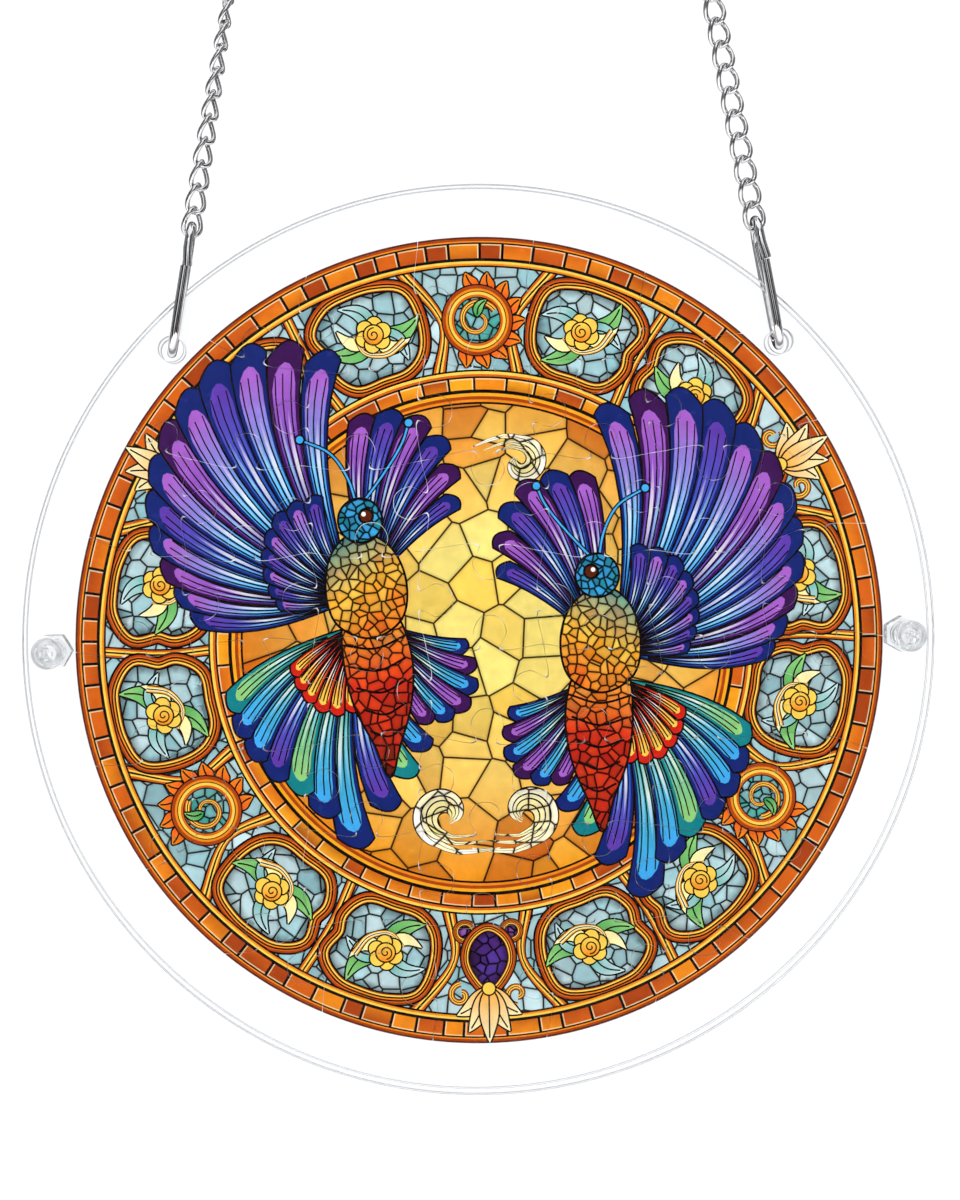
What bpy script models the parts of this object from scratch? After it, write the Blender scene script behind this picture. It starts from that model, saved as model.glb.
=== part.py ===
"""Acrylic puzzle suncatcher: a round printed jigsaw between two clear plates, hung on two curb chains.

Units are metres and +Z is up. The disc stands in the XZ plane with its front towards -Y.
The origin lies midway between the points where the two top rings hang.
"""

import math
import random

import bmesh
import bpy
from mathutils import Vector

# Driving dimensions of the disc
PICTURE_DIAMETER = 0.178
CLEAR_MARGIN = 0.011
PLATE_THICKNESS = 0.002
TILE_THICKNESS = 0.0024
FIT_GAP = 0.0003

# Driving dimensions of the jigsaw cut: the columns and rows are tile widths across the picture
KERF = 0.0003
TILE_COLUMNS = 7
TILE_ROWS = 8.7
BORDER_TILES = 22
KNOB_SHARE = 0.36
KNOB_LARGEST_SHARE = 0.432
KNOB_SHIFT = 0.05
CORNER_WANDER = 0.0012
CUT_SEED = 11

# Driving dimensions of the screws and nuts
SCREW_DIAMETER = 0.004
HEAD_DIAMETER = 0.007
HEAD_HEIGHT = 0.0024
RECESS_LENGTH = 0.0036
RECESS_WIDTH = 0.0009
RECESS_DEPTH = 0.0012
NUT_ACROSS_FLATS = 0.007
NUT_THICKNESS = 0.0032
SCREW_END = 0.0008

# Driving dimensions of the two oval hanging links
LINK_HOLE_DIAMETER = 0.0052
LINK_HOLE_INSET = 0.0068
LINK_HOLE_ANGLE = math.radians(45.5)
HANGING_LINK_LENGTH = 0.030
HANGING_LINK_WIRE = 0.002
HANGING_LINK_CLEARANCE = 0.0008
HANGING_LINK_YAW = math.radians(6)
SEAM_SHARE = 0.33

# Driving dimensions of the chains and their top rings
CHAIN_LEAN = math.radians(10.4)
CHAIN_WIRE = 0.00105
CHAIN_LINK_LENGTH = 0.0071
CHAIN_LINK_WIDTH = 0.0051
CHAIN_LINK_TWIST = math.radians(40)
CHAIN_LINK_FULLNESS = 0.8
CHAIN_LINKS = 11
LINK_BITE = 0.07
HOOK_GAP = 0.0006
TOP_RING_DIAMETER = 0.011
TOP_RING_WIRE = 0.0015

# Sides of the round shapes
PLATE_SIDES = 64
HOLE_SIDES = 12
HEAD_SIDES = 12
CHAIN_WIRE_SIDES = 6
HANGING_LINK_WIRE_SIDES = 8
TOP_RING_WIRE_SIDES = 6
CHAIN_LINK_POINTS = 10
BEND_POINTS = 8
TOP_RING_POINTS = 14
BORDER_ARC_STEPS = 2
SHARP_ANGLE = math.radians(35)

# Sizes that follow
PICTURE_RADIUS = PICTURE_DIAMETER / 2
PLATE_RADIUS = PICTURE_RADIUS + CLEAR_MARGIN
COLUMN_PITCH = PICTURE_DIAMETER / TILE_COLUMNS
ROW_PITCH = PICTURE_DIAMETER / TILE_ROWS
HALF_STACK = TILE_THICKNESS / 2 + FIT_GAP + PLATE_THICKNESS
SCREW_RADIUS_FROM_CENTRE = PICTURE_RADIUS + CLEAR_MARGIN / 2
SCREW_HOLE_DIAMETER = SCREW_DIAMETER + 2 * FIT_GAP
LINK_HOLE_X = (PLATE_RADIUS - LINK_HOLE_INSET) * math.sin(LINK_HOLE_ANGLE)
LINK_HOLE_Z = (PLATE_RADIUS - LINK_HOLE_INSET) * math.cos(LINK_HOLE_ANGLE)

# The oval link bears on the top of its hole, and its bend clears both faces of the stack.
# Its yaw moves it sideways in the hole, to where the round hole is lower.
BEND_RADIUS = HALF_STACK + HANGING_LINK_CLEARANCE + HANGING_LINK_WIRE / 2
BEND_RISE = BEND_RADIUS - math.sqrt(BEND_RADIUS**2 - HALF_STACK**2)
BEND_SLOPE = math.asin(HALF_STACK / BEND_RADIUS)
BEND_SHIFT = HALF_STACK * math.sin(HANGING_LINK_YAW) + HANGING_LINK_WIRE / 4
HOLE_HEIGHT_THERE = math.sqrt((LINK_HOLE_DIAMETER / 2)**2 - BEND_SHIFT**2)
FACET_HEIGHT = BEND_RADIUS * (1 - math.cos(math.pi / (BEND_POINTS - 1) / 2))
WIRE_CORNER = HANGING_LINK_WIRE / 2 / math.cos(math.pi / HANGING_LINK_WIRE_SIDES)
LINK_BOTTOM = (HOLE_HEIGHT_THERE - FIT_GAP - BEND_RISE - FACET_HEIGHT
               - WIRE_CORNER / math.cos(BEND_SLOPE))
LINK_TOP = LINK_BOTTOM + HANGING_LINK_LENGTH - HANGING_LINK_WIRE

# Heights along a chain, measured from the middle of its hole
CHAIN_HALF_LENGTH = (CHAIN_LINK_LENGTH - CHAIN_WIRE) / 2
CHAIN_HALF_WIDTH = (CHAIN_LINK_WIDTH - CHAIN_WIRE) / 2
CHAIN_PITCH = 2 * CHAIN_HALF_LENGTH - (1 - LINK_BITE) * CHAIN_WIRE
CHAIN_START = (LINK_TOP - HANGING_LINK_WIRE / 2 - HOOK_GAP - CHAIN_WIRE / 2
               + CHAIN_HALF_LENGTH)
CHAIN_TOP = CHAIN_START + (CHAIN_LINKS - 1) * CHAIN_PITCH + CHAIN_HALF_LENGTH
TOP_RING_RADIUS = (TOP_RING_DIAMETER - TOP_RING_WIRE) / 2
TOP_RING_CENTRE = (CHAIN_TOP - CHAIN_WIRE / 2 - HOOK_GAP - TOP_RING_WIRE / 2
                   + TOP_RING_RADIUS)
HANG_POINT = TOP_RING_CENTRE + TOP_RING_RADIUS - TOP_RING_WIRE / 2
DISC_CENTRE_Z = -(LINK_HOLE_Z + HANG_POINT * math.cos(CHAIN_LEAN))

# Each side: its sign along X, the face angle of its first chain link, the turn from link to
# link, the angle of its top ring and the angle of its nut
SIDES = {
    "left": (-1, math.radians(40), math.radians(5.5), math.radians(10), 0.0),
    "right": (1, math.radians(2), math.radians(1), math.radians(-30), math.radians(30)),
}

# Colour, roughness, metallic and transmission of each finish
CLEAR_ACRYLIC = ((0.93, 0.96, 0.98), 0.03, 0.0, 0.95)
CLEAR_NYLON = ((0.90, 0.91, 0.92), 0.25, 0.0, 0.80)
POLISHED_STEEL = ((0.62, 0.62, 0.63), 0.18, 1.0, 0.0)
AMBER_PRINT = ((0.93, 0.52, 0.08), 0.22, 0.0, 0.0)
PALE_BLUE_PRINT = ((0.55, 0.74, 0.76), 0.22, 0.0, 0.0)
BRICK_PRINT = ((0.72, 0.27, 0.05), 0.22, 0.0, 0.0)
AMBER_RADIUS = 0.62 * PICTURE_RADIUS
BRICK_RADIUS = 0.78 * PICTURE_RADIUS


def clear_scene():
    """Removes what the file opened with."""
    for thing in list(bpy.data.objects):
        bpy.data.objects.remove(thing, do_unlink=True)


def add_object(name, data, parent):
    """Links an object to the scene under its parent empty."""
    thing = bpy.data.objects.new(name, data)
    thing.parent = parent
    bpy.context.scene.collection.objects.link(thing)
    return thing


def add_empty(name, location, rotation, parent=None):
    """A place to hang pieces from."""
    empty = add_object(name, None, parent)
    empty.location = location
    empty.rotation_euler = rotation
    return empty


def give_finish(thing, finish):
    """Gives a piece its own material."""
    colour, roughness, metallic, transmission = finish
    material = bpy.data.materials.new(thing.name + "_finish")
    material.use_nodes = True
    shader = material.node_tree.nodes["Principled BSDF"]
    shader.inputs["Base Color"].default_value = (*colour, 1)
    shader.inputs["Roughness"].default_value = roughness
    shader.inputs["Metallic"].default_value = metallic
    shader.inputs["Transmission Weight"].default_value = transmission
    thing.data.materials.append(material)


def extruded(name, outlines, front, back, parent):
    """Flat outlines in the XZ plane, drawn out along Y from front to back."""
    bm = bmesh.new()
    for outline in outlines:
        face = bm.faces.new([bm.verts.new((x, front, z)) for x, z in outline])
        grown = bmesh.ops.extrude_face_region(bm, geom=[face])["geom"]
        moved = [item for item in grown if isinstance(item, bmesh.types.BMVert)]
        bmesh.ops.translate(bm, vec=(0, back - front, 0), verts=moved)
    bmesh.ops.recalc_face_normals(bm, faces=bm.faces)
    mesh = bpy.data.meshes.new(name)
    bm.to_mesh(mesh)
    bm.free()
    return add_object(name, mesh, parent)


def turned(name, profile, sides, parent):
    """A profile of radius and Y, from axis to axis, turned about the Y axis."""
    bm = bmesh.new()
    verts = [bm.verts.new((radius, y, 0)) for radius, y in profile]
    edges = [bm.edges.new(pair) for pair in zip(verts, verts[1:])]
    bmesh.ops.spin(bm, geom=verts + edges, cent=(0, 0, 0), axis=(0, 1, 0),
                   angle=2 * math.pi, steps=sides, use_merge=True)
    bmesh.ops.remove_doubles(bm, verts=bm.verts, dist=1e-6)
    bmesh.ops.recalc_face_normals(bm, faces=bm.faces)
    mesh = bpy.data.meshes.new(name)
    bm.to_mesh(mesh)
    bm.free()
    return add_object(name, mesh, parent)


def wire_curve(name, paths, thickness, sides, closed):
    """Round wire bent along each path of points, with its flats at the wire's true thickness."""
    curve = bpy.data.curves.new(name, "CURVE")
    curve.dimensions = "3D"
    curve.bevel_depth = thickness / 2 / math.cos(math.pi / sides)
    curve.bevel_resolution = sides // 2 - 2
    curve.use_fill_caps = not closed
    for path in paths:
        spline = curve.splines.new("POLY")
        spline.points.add(len(path) - 1)
        for point, place in zip(spline.points, path):
            point.co = (*place, 1)
        spline.use_cyclic_u = closed
    return curve


def curve_to_mesh(curve):
    """The solid mesh of a wire, so that Booleans can use it."""
    holder = bpy.data.objects.new(curve.name, curve)
    mesh = bpy.data.meshes.new_from_object(holder)
    bpy.data.objects.remove(holder)
    return mesh


def combine(target, other, operation):
    """Cuts or joins another solid, which is then only a guide."""
    other.hide_render = True
    other.display_type = "WIRE"
    modifier = target.modifiers.new(operation.lower(), "BOOLEAN")
    modifier.operation = operation
    modifier.object = other
    modifier.solver = "EXACT"


def circle_outline(radius, sides, centre=(0, 0)):
    """Points of a regular polygon, which stands for a round edge."""
    angles = [2 * math.pi * step / sides for step in range(sides)]
    return [(centre[0] + radius * math.cos(angle), centre[1] + radius * math.sin(angle))
            for angle in angles]


def hole_outline(radius, centre=(0, 0)):
    """Points of a polygon around a round hole, so that what is in the hole clears its flats."""
    return circle_outline(radius / math.cos(math.pi / HOLE_SIDES), HOLE_SIDES, centre)


def turned_about_z(x, y, z, angle):
    """A point turned about the Z axis."""
    return (x * math.cos(angle) - y * math.sin(angle),
            x * math.sin(angle) + y * math.cos(angle), z)


# The jigsaw cut
def grid_corners():
    """Corners where four tiles meet, each nudged a little, by column and row."""
    chance = random.Random(CUT_SEED)
    corners = {}
    for column in (-3, -2, -1, 1, 2, 3):
        for row in range(-3, 4):
            if abs(column) == 3 and abs(row) == 3:
                continue
            x = math.copysign((abs(column) - 0.5) * COLUMN_PITCH, column)
            corners[column, row] = Vector((
                x + chance.uniform(-CORNER_WANDER, CORNER_WANDER),
                row * ROW_PITCH + chance.uniform(-CORNER_WANDER, CORNER_WANDER)))
    return corners


def knobbed_cut(start, end, side, shift):
    """Points of one cut from start up to, but not with, its end, with a round knob on one side."""
    along = (end - start).normalized()
    out = Vector((-along.y, along.x)) * side
    middle = start.lerp(end, 0.5 + shift)
    knob = min(KNOB_SHARE * ROW_PITCH, KNOB_LARGEST_SHARE * (end - start).length) / 2
    profile = ((-0.62, -0.30), (-0.98, 0.75), (-0.50, 1.60),
               (0.50, 1.60), (0.98, 0.75), (0.62, -0.30))
    return [start] + [middle + knob * (step * along + rise * out) for step, rise in profile]


def jigsaw_outlines():
    """The outline of every tile, as the cuts leave it, before the kerf is taken off."""
    chance = random.Random(CUT_SEED)
    corners = grid_corners()
    cuts = {}

    def cut(first, second):
        """The points of a cut walked from first to second, cut once for both its tiles."""
        if (first, second) not in cuts:
            start, end = corners[first], corners[second]
            side = -1 if second[0] == "border" else chance.choice((-1, 1))
            shift = chance.uniform(-KNOB_SHIFT, KNOB_SHIFT)
            points = knobbed_cut(start, end, side, shift) + [end]
            cuts[first, second] = points[:-1]
            cuts[second, first] = points[:0:-1]
        return cuts[first, second]

    spoke_starts = []
    for spoke in range(BORDER_TILES):
        angle = 2 * math.pi * spoke / BORDER_TILES
        place = PICTURE_RADIUS * Vector((math.cos(angle), math.sin(angle)))
        inner = [key for key in corners if key[0] != "border"]
        spoke_starts.append(min(inner, key=lambda key: (corners[key] - place).length))
        corners["border", spoke] = place
        cut(spoke_starts[-1], ("border", spoke))

    outlines = []
    for left, right in ((-3, -2), (-2, -1), (-1, 1), (1, 2), (2, 3)):
        for low in range(-3, 3):
            loop = [(left, low), (right, low), (right, low + 1), (left, low + 1)]
            if all(key in corners for key in loop):
                walk = [cut(a, b) for a, b in zip(loop, loop[1:] + loop[:1])]
                outlines.append(sum(walk, []))

    for spoke in range(BORDER_TILES):
        following = (spoke + 1) % BORDER_TILES
        first, second = spoke_starts[spoke], spoke_starts[following]
        outline = list(cut(first, ("border", spoke)))
        for step in range(BORDER_ARC_STEPS):
            angle = 2 * math.pi * (spoke + step / BORDER_ARC_STEPS) / BORDER_TILES
            outline.append(PICTURE_RADIUS * Vector((math.cos(angle), math.sin(angle))))
        outline += cut(("border", following), second)
        inner_path = [second]
        if first[0] != second[0] and first[1] != second[1]:
            inner_path.append((min(first[0], second[0], key=abs),
                               min(first[1], second[1], key=abs)))
        if first != second:
            inner_path.append(first)
        for a, b in zip(inner_path, inner_path[1:]):
            outline += cut(a, b)
        outlines.append(outline)
    return outlines


def inset(outline, distance):
    """Moves each side of an anticlockwise outline inwards by a distance."""
    moved = []
    for index, point in enumerate(outline):
        before = (point - outline[index - 1]).normalized()
        after = (outline[(index + 1) % len(outline)] - point).normalized()
        inward = Vector((-before.y - after.y, before.x + after.x)).normalized()
        share = inward.dot(Vector((-after.y, after.x)))
        moved.append(point + inward * distance / share)
    return moved


def make_puzzle(parent):
    """Every tile of the picture, numbered from the top left, row by row."""
    outlines = [inset(outline, KERF / 2) for outline in jigsaw_outlines()]
    middles = [sum(outline, Vector((0, 0))) / len(outline) for outline in outlines]
    order = sorted(range(len(outlines)),
                   key=lambda index: (-round(middles[index].y / ROW_PITCH - 0.5),
                                      middles[index].x))
    for number, index in enumerate(order, start=1):
        tile = extruded(f"puzzle_piece_{number:02d}", [outlines[index]],
                        -TILE_THICKNESS / 2, TILE_THICKNESS / 2, parent)
        distance = middles[index].length
        finish = AMBER_PRINT if distance < AMBER_RADIUS else PALE_BLUE_PRINT
        give_finish(tile, BRICK_PRINT if distance > BRICK_RADIUS else finish)


# The clear plates
def make_plate(name, front, parent):
    """A round plate with two holes for the oval links and two for the screws."""
    back = front + PLATE_THICKNESS
    plate = extruded(name, [circle_outline(PLATE_RADIUS, PLATE_SIDES)], front, back, parent)
    holes = []
    for sign in (-1, 1):
        holes.append(hole_outline(LINK_HOLE_DIAMETER / 2, (sign * LINK_HOLE_X, LINK_HOLE_Z)))
        holes.append(hole_outline(SCREW_HOLE_DIAMETER / 2,
                                  (sign * SCREW_RADIUS_FROM_CENTRE, 0)))
    cutter = extruded(name + "_holes", holes, front - PLATE_THICKNESS,
                      back + PLATE_THICKNESS, parent)
    combine(plate, cutter, "DIFFERENCE")
    give_finish(plate, CLEAR_ACRYLIC)


# The screws and nuts
def cross_outline():
    """Points of the cross recess: for each arm its two end corners and the inner corner after."""
    long, wide = RECESS_LENGTH / 2, RECESS_WIDTH / 2
    arm = [(long, -wide), (long, wide), (wide, wide)]
    points = []
    for _ in range(4):
        points += arm
        arm = [(-z, x) for x, z in arm]
    return points


def make_screw(side, sign, parent):
    """A pan-head screw with a cross recess, from the front plate through to its nut."""
    under_head = -(HALF_STACK + FIT_GAP)
    face = under_head - HEAD_HEIGHT
    tip = HALF_STACK + FIT_GAP + NUT_THICKNESS + SCREW_END
    head_radius = HEAD_DIAMETER / 2
    shank_radius = SCREW_DIAMETER / 2
    profile = [(0, face), (0.62 * head_radius, face + 0.10 * HEAD_HEIGHT),
               (0.92 * head_radius, face + 0.40 * HEAD_HEIGHT),
               (head_radius, face + 0.75 * HEAD_HEIGHT), (head_radius, under_head),
               (shank_radius, under_head), (shank_radius, tip), (0, tip)]
    screw = turned("screw_" + side, profile, HEAD_SIDES, parent)
    screw.location.x = sign * SCREW_RADIUS_FROM_CENTRE
    cutter = extruded(f"screw_{side}_recess", [cross_outline()],
                      face - RECESS_DEPTH, face + RECESS_DEPTH, parent)
    cutter.location.x = screw.location.x
    combine(screw, cutter, "DIFFERENCE")
    give_finish(screw, CLEAR_NYLON)


def make_nut(side, sign, turn, parent):
    """A hexagon nut behind the back plate."""
    front = HALF_STACK + FIT_GAP
    back = front + NUT_THICKNESS
    corner_radius = NUT_ACROSS_FLATS / 2 / math.cos(math.pi / 6)
    nut = extruded("nut_" + side, [circle_outline(corner_radius, 6)], front, back, parent)
    cutter = extruded(f"nut_{side}_bore", [hole_outline(SCREW_HOLE_DIAMETER / 2)],
                      front - NUT_THICKNESS, back + NUT_THICKNESS, parent)
    for thing in (nut, cutter):
        thing.location.x = sign * SCREW_RADIUS_FROM_CENTRE
        thing.rotation_euler.y = turn
    combine(nut, cutter, "DIFFERENCE")
    give_finish(nut, CLEAR_NYLON)


# The steel links, chains and rings
def make_hanging_link(side, sign, parent):
    """An open oval link through the hole, with its seam on the front leg."""
    low = LINK_BOTTOM + BEND_RADIUS
    high = LINK_TOP - BEND_RADIUS
    seam = LINK_TOP - SEAM_SHARE * (LINK_TOP - LINK_BOTTOM)
    path = [(-BEND_RADIUS, seam - FIT_GAP / 2)]
    for step in range(BEND_POINTS):
        angle = math.pi * step / (BEND_POINTS - 1)
        path.append((-BEND_RADIUS * math.cos(angle), low - BEND_RADIUS * math.sin(angle)))
    for step in range(BEND_POINTS):
        angle = math.pi * step / (BEND_POINTS - 1)
        path.append((BEND_RADIUS * math.cos(angle), high + BEND_RADIUS * math.sin(angle)))
    path.append((-BEND_RADIUS, seam + FIT_GAP / 2))
    points = [turned_about_z(0, y, z, -sign * HANGING_LINK_YAW) for y, z in path]
    curve = wire_curve("hanging_link_" + side, [points], HANGING_LINK_WIRE,
                       HANGING_LINK_WIRE_SIDES, closed=False)
    give_finish(add_object(curve.name, curve, parent), POLISHED_STEEL)


def chain_link_path(height, face_angle):
    """A long loop whose two ends are twisted apart, so that the next loop lies flat with it."""
    points = []
    for step in range(CHAIN_LINK_POINTS):
        angle = math.pi / 2 + 2 * math.pi * step / CHAIN_LINK_POINTS
        across, up = math.cos(angle), math.sin(angle)
        x = CHAIN_HALF_WIDTH * math.copysign(abs(across)**CHAIN_LINK_FULLNESS, across)
        z = CHAIN_HALF_LENGTH * math.copysign(abs(up)**CHAIN_LINK_FULLNESS, up)
        twist = face_angle + CHAIN_LINK_TWIST * z / CHAIN_HALF_LENGTH
        points.append(turned_about_z(x, 0, z + height, twist))
    return points


def make_chain(side, first_angle, turn, parent):
    """A curb chain: every second link is one mesh, and the links between are joined to it."""
    paths = [chain_link_path(CHAIN_START + index * CHAIN_PITCH, first_angle + index * turn)
             for index in range(CHAIN_LINKS)]
    halves = []
    for name, group in (("chain_" + side, paths[0::2]), (f"chain_{side}_between", paths[1::2])):
        curve = wire_curve(name, group, CHAIN_WIRE, CHAIN_WIRE_SIDES, closed=True)
        halves.append(add_object(name, curve_to_mesh(curve), parent))
    chain, between = halves
    combine(chain, between, "UNION")
    give_finish(chain, POLISHED_STEEL)


def make_top_ring(side, angle, parent):
    """The open ring at the top end of a chain, which goes over a hook."""
    opening = FIT_GAP / TOP_RING_RADIUS
    points = []
    for step in range(TOP_RING_POINTS):
        share = step / (TOP_RING_POINTS - 1)
        place = opening / 2 + share * (2 * math.pi - opening)
        points.append(turned_about_z(TOP_RING_RADIUS * math.cos(place), 0,
                                     TOP_RING_CENTRE + TOP_RING_RADIUS * math.sin(place), angle))
    curve = wire_curve("top_ring_" + side, [points], TOP_RING_WIRE, TOP_RING_WIRE_SIDES,
                       closed=False)
    give_finish(add_object(curve.name, curve, parent), POLISHED_STEEL)


def main():
    """Builds the whole suncatcher."""
    clear_scene()
    disc = add_empty("disc_centre", (0, 0, DISC_CENTRE_Z), (0, 0, 0))
    make_plate("front_plate", -HALF_STACK, disc)
    make_plate("back_plate", HALF_STACK - PLATE_THICKNESS, disc)
    make_puzzle(disc)
    for side, (sign, first_angle, turn, ring_angle, nut_turn) in SIDES.items():
        make_screw(side, sign, disc)
        make_nut(side, sign, nut_turn, disc)
        hanger = add_empty("hanger_" + side, (sign * LINK_HOLE_X, 0, LINK_HOLE_Z),
                           (0, -sign * CHAIN_LEAN, 0), disc)
        make_hanging_link(side, sign, hanger)
        make_chain(side, first_angle, turn, hanger)
        make_top_ring(side, ring_angle, hanger)
    for thing in bpy.context.scene.objects:
        if thing.type == "MESH" and not thing.name.startswith(("puzzle", "nut")):
            thing.data.shade_smooth()
            thing.data.set_sharp_from_angle(angle=SHARP_ANGLE)


main()
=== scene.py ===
import math
import random
from collections import namedtuple

import bmesh
import bpy
import numpy as np
from mathutils import Matrix, Vector
from mathutils.geometry import delaunay_2d_cdt


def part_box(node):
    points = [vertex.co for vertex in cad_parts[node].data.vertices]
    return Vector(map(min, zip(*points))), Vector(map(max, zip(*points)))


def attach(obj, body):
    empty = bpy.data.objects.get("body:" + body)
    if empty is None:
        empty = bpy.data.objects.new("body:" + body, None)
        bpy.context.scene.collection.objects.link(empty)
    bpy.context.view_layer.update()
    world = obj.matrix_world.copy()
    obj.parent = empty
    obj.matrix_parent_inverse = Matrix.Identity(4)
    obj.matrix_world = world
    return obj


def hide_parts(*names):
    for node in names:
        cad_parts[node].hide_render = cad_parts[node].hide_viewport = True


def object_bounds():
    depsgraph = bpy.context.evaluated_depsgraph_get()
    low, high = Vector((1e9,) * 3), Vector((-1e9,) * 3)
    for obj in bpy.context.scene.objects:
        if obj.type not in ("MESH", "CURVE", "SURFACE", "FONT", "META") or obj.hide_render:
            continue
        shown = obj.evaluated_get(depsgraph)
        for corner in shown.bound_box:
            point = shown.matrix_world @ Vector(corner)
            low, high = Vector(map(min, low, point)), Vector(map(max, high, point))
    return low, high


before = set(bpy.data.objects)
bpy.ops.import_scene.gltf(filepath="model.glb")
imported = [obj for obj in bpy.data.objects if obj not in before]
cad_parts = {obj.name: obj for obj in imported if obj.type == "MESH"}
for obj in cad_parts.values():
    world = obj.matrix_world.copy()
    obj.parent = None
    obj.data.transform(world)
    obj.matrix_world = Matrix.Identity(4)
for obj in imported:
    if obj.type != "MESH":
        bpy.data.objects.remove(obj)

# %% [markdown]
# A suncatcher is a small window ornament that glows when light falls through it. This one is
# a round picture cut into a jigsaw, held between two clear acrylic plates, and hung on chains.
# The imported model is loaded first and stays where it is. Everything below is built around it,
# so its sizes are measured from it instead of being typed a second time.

cad_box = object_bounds()
SIDES = {"left": -1, "right": 1}
TILE_NODES = sorted(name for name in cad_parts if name.startswith("puzzle_piece"))


def middle_of(node):
    """The middle of a node's box."""
    low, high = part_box(node)
    return (Vector(low) + Vector(high)) / 2


def size_of(node):
    """The size of a node's box."""
    low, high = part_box(node)
    return Vector(high) - Vector(low)


PLATE_RADIUS = size_of("front_plate").x / 2
PLATE_THICKNESS = size_of("front_plate").y
TILE_THICKNESS = size_of(TILE_NODES[0]).y
CENTRE = Vector((0, 0, middle_of("front_plate").z))
print(f"plates {2000 * PLATE_RADIUS:.1f} mm across, {1000 * PLATE_THICKNESS:.1f} mm thick")
print(f"{len(TILE_NODES)} tiles, {1000 * TILE_THICKNESS:.1f} mm thick")


def corners_of(node):
    """Every vertex of a node's solid, one row each."""
    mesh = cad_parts[node].data
    places = np.empty(3 * len(mesh.vertices))
    mesh.vertices.foreach_get("co", places)
    return places.reshape(-1, 3)


PICTURE_RADIUS = max(
    np.hypot(corners_of(name)[:, 0], corners_of(name)[:, 2] - CENTRE.z).max()
    for name in TILE_NODES)
print(f"picture {2000 * PICTURE_RADIUS:.1f} mm across")

# %% [markdown]
# The camera stands where the photographer's stood: in front of the disc, a little above its
# middle and a little to the left, and held not quite level. From so near, the back plate looks
# smaller than the front one, so its rim shows as a second line inside the first. A long lens
# would flatten that away, so the distance matters as much as the angle.

# %% Camera
CAMERA_PLACE = CENTRE + Vector((-0.018, -0.406, 0.028))
CAMERA_AIM = CENTRE + Vector((-0.0004, 0, 0.0096))
CAMERA_ROLL = math.radians(-1.0)
FOCAL_LENGTH = 55.3

camera_data = bpy.data.cameras.new("studio_camera")
camera_data.lens = FOCAL_LENGTH
camera_data.sensor_fit = "VERTICAL"
camera_data.sensor_height = 36.0
camera_data.clip_start = 0.01
camera = bpy.data.objects.new("studio_camera", camera_data)
camera.location = CAMERA_PLACE
facing = (CAMERA_AIM - CAMERA_PLACE).to_track_quat("-Z", "Y").to_matrix()
camera.rotation_euler = (facing @ Matrix.Rotation(CAMERA_ROLL, 3, "Z")).to_euler()
bpy.context.scene.collection.objects.link(camera)
bpy.context.scene.camera = camera
print(f"camera {1000 * (CAMERA_AIM - CAMERA_PLACE).length:.0f} mm from the disc")

# %% [markdown]
# Most pieces start as plain lists of points and faces. These helpers turn such lists into an
# object, tie it to the body it moves with, and hide the solid that it stands for. A closed mesh
# matters for glass: light has to find a way in and a way out.

# %% Helpers that make pieces


def finished(name, mesh, materials, replaced, sharp=40):
    """Puts a mesh in the scene as a piece of the object."""
    mesh.name = name
    piece = bpy.data.objects.new(name, mesh)
    bpy.context.scene.collection.objects.link(piece)
    for material in materials:
        mesh.materials.append(material)
    mesh.shade_smooth()
    mesh.set_sharp_from_angle(angle=math.radians(sharp))
    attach(piece, "root")
    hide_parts(replaced)
    return piece


def cleaned(mesh):
    """The mesh with doubled points merged and its faces pointing outwards."""
    shape = bmesh.new()
    shape.from_mesh(mesh)
    bmesh.ops.remove_doubles(shape, verts=shape.verts, dist=1e-7)
    bmesh.ops.recalc_face_normals(shape, faces=shape.faces)
    shape.to_mesh(mesh)
    shape.free()
    return mesh


def mesh_from(points, faces):
    """A clean mesh from lists of points and faces."""
    mesh = bpy.data.meshes.new("made")
    mesh.from_pydata([tuple(point) for point in points], [], faces)
    return cleaned(mesh)


def sleeve_faces(rings, around, first_cap, last_cap):
    """Quads that join rings of equal length one after another, with or without end caps."""
    faces = []
    for ring in range(rings - 1):
        for step in range(around):
            after = (step + 1) % around
            faces.append((ring * around + step, ring * around + after,
                          (ring + 1) * around + after, (ring + 1) * around + step))
    if first_cap:
        faces.append(tuple(range(around)))
    if last_cap:
        faces.append(tuple(range((rings - 1) * around, rings * around)))
    return faces


def lathe(radius_at, stations, around, first_cap=False, last_cap=False):
    """A shape turned about the Y axis. radius_at gives the radius for a station and an angle."""
    points = []
    for station in stations:
        for step in range(around):
            angle = 2 * math.pi * step / around
            radius, y = radius_at(station, angle)
            points.append((radius * math.cos(angle), y, radius * math.sin(angle)))
    return mesh_from(points, sleeve_faces(len(stations), around, first_cap, last_cap))


def wire(path, thickness, around, closed):
    """Round wire along a path of points, without twist."""
    points = [Vector(point) for point in path]
    count = len(points)
    side = None
    made = []
    for index, point in enumerate(points):
        before = points[index - 1] if index or closed else point
        after = points[(index + 1) % count] if index < count - 1 or closed else point
        along = (after - before).normalized()
        if side is None:
            side = along.orthogonal()
        side = (side - side.dot(along) * along).normalized()
        other = along.cross(side)
        for step in range(around):
            angle = 2 * math.pi * step / around
            made.append(point + thickness / 2 * (math.cos(angle) * side
                                                 + math.sin(angle) * other))
    faces = sleeve_faces(count, around, not closed, not closed)
    if closed:
        first = min(range(around), key=lambda step: (made[step] - made[-around]).length)
        for step in range(around):
            faces.append(((count - 1) * around + step, (count - 1) * around + (step + 1) % around,
                          (first + step + 1) % around, (first + step) % around))
    return mesh_from(made, faces)


# %% [markdown]
# Every finish is a small node graph. A helper makes the material, another adds a node and sets
# its plain values, so that each recipe below reads as a short list of ingredients.

# %% Helpers that make materials


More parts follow.
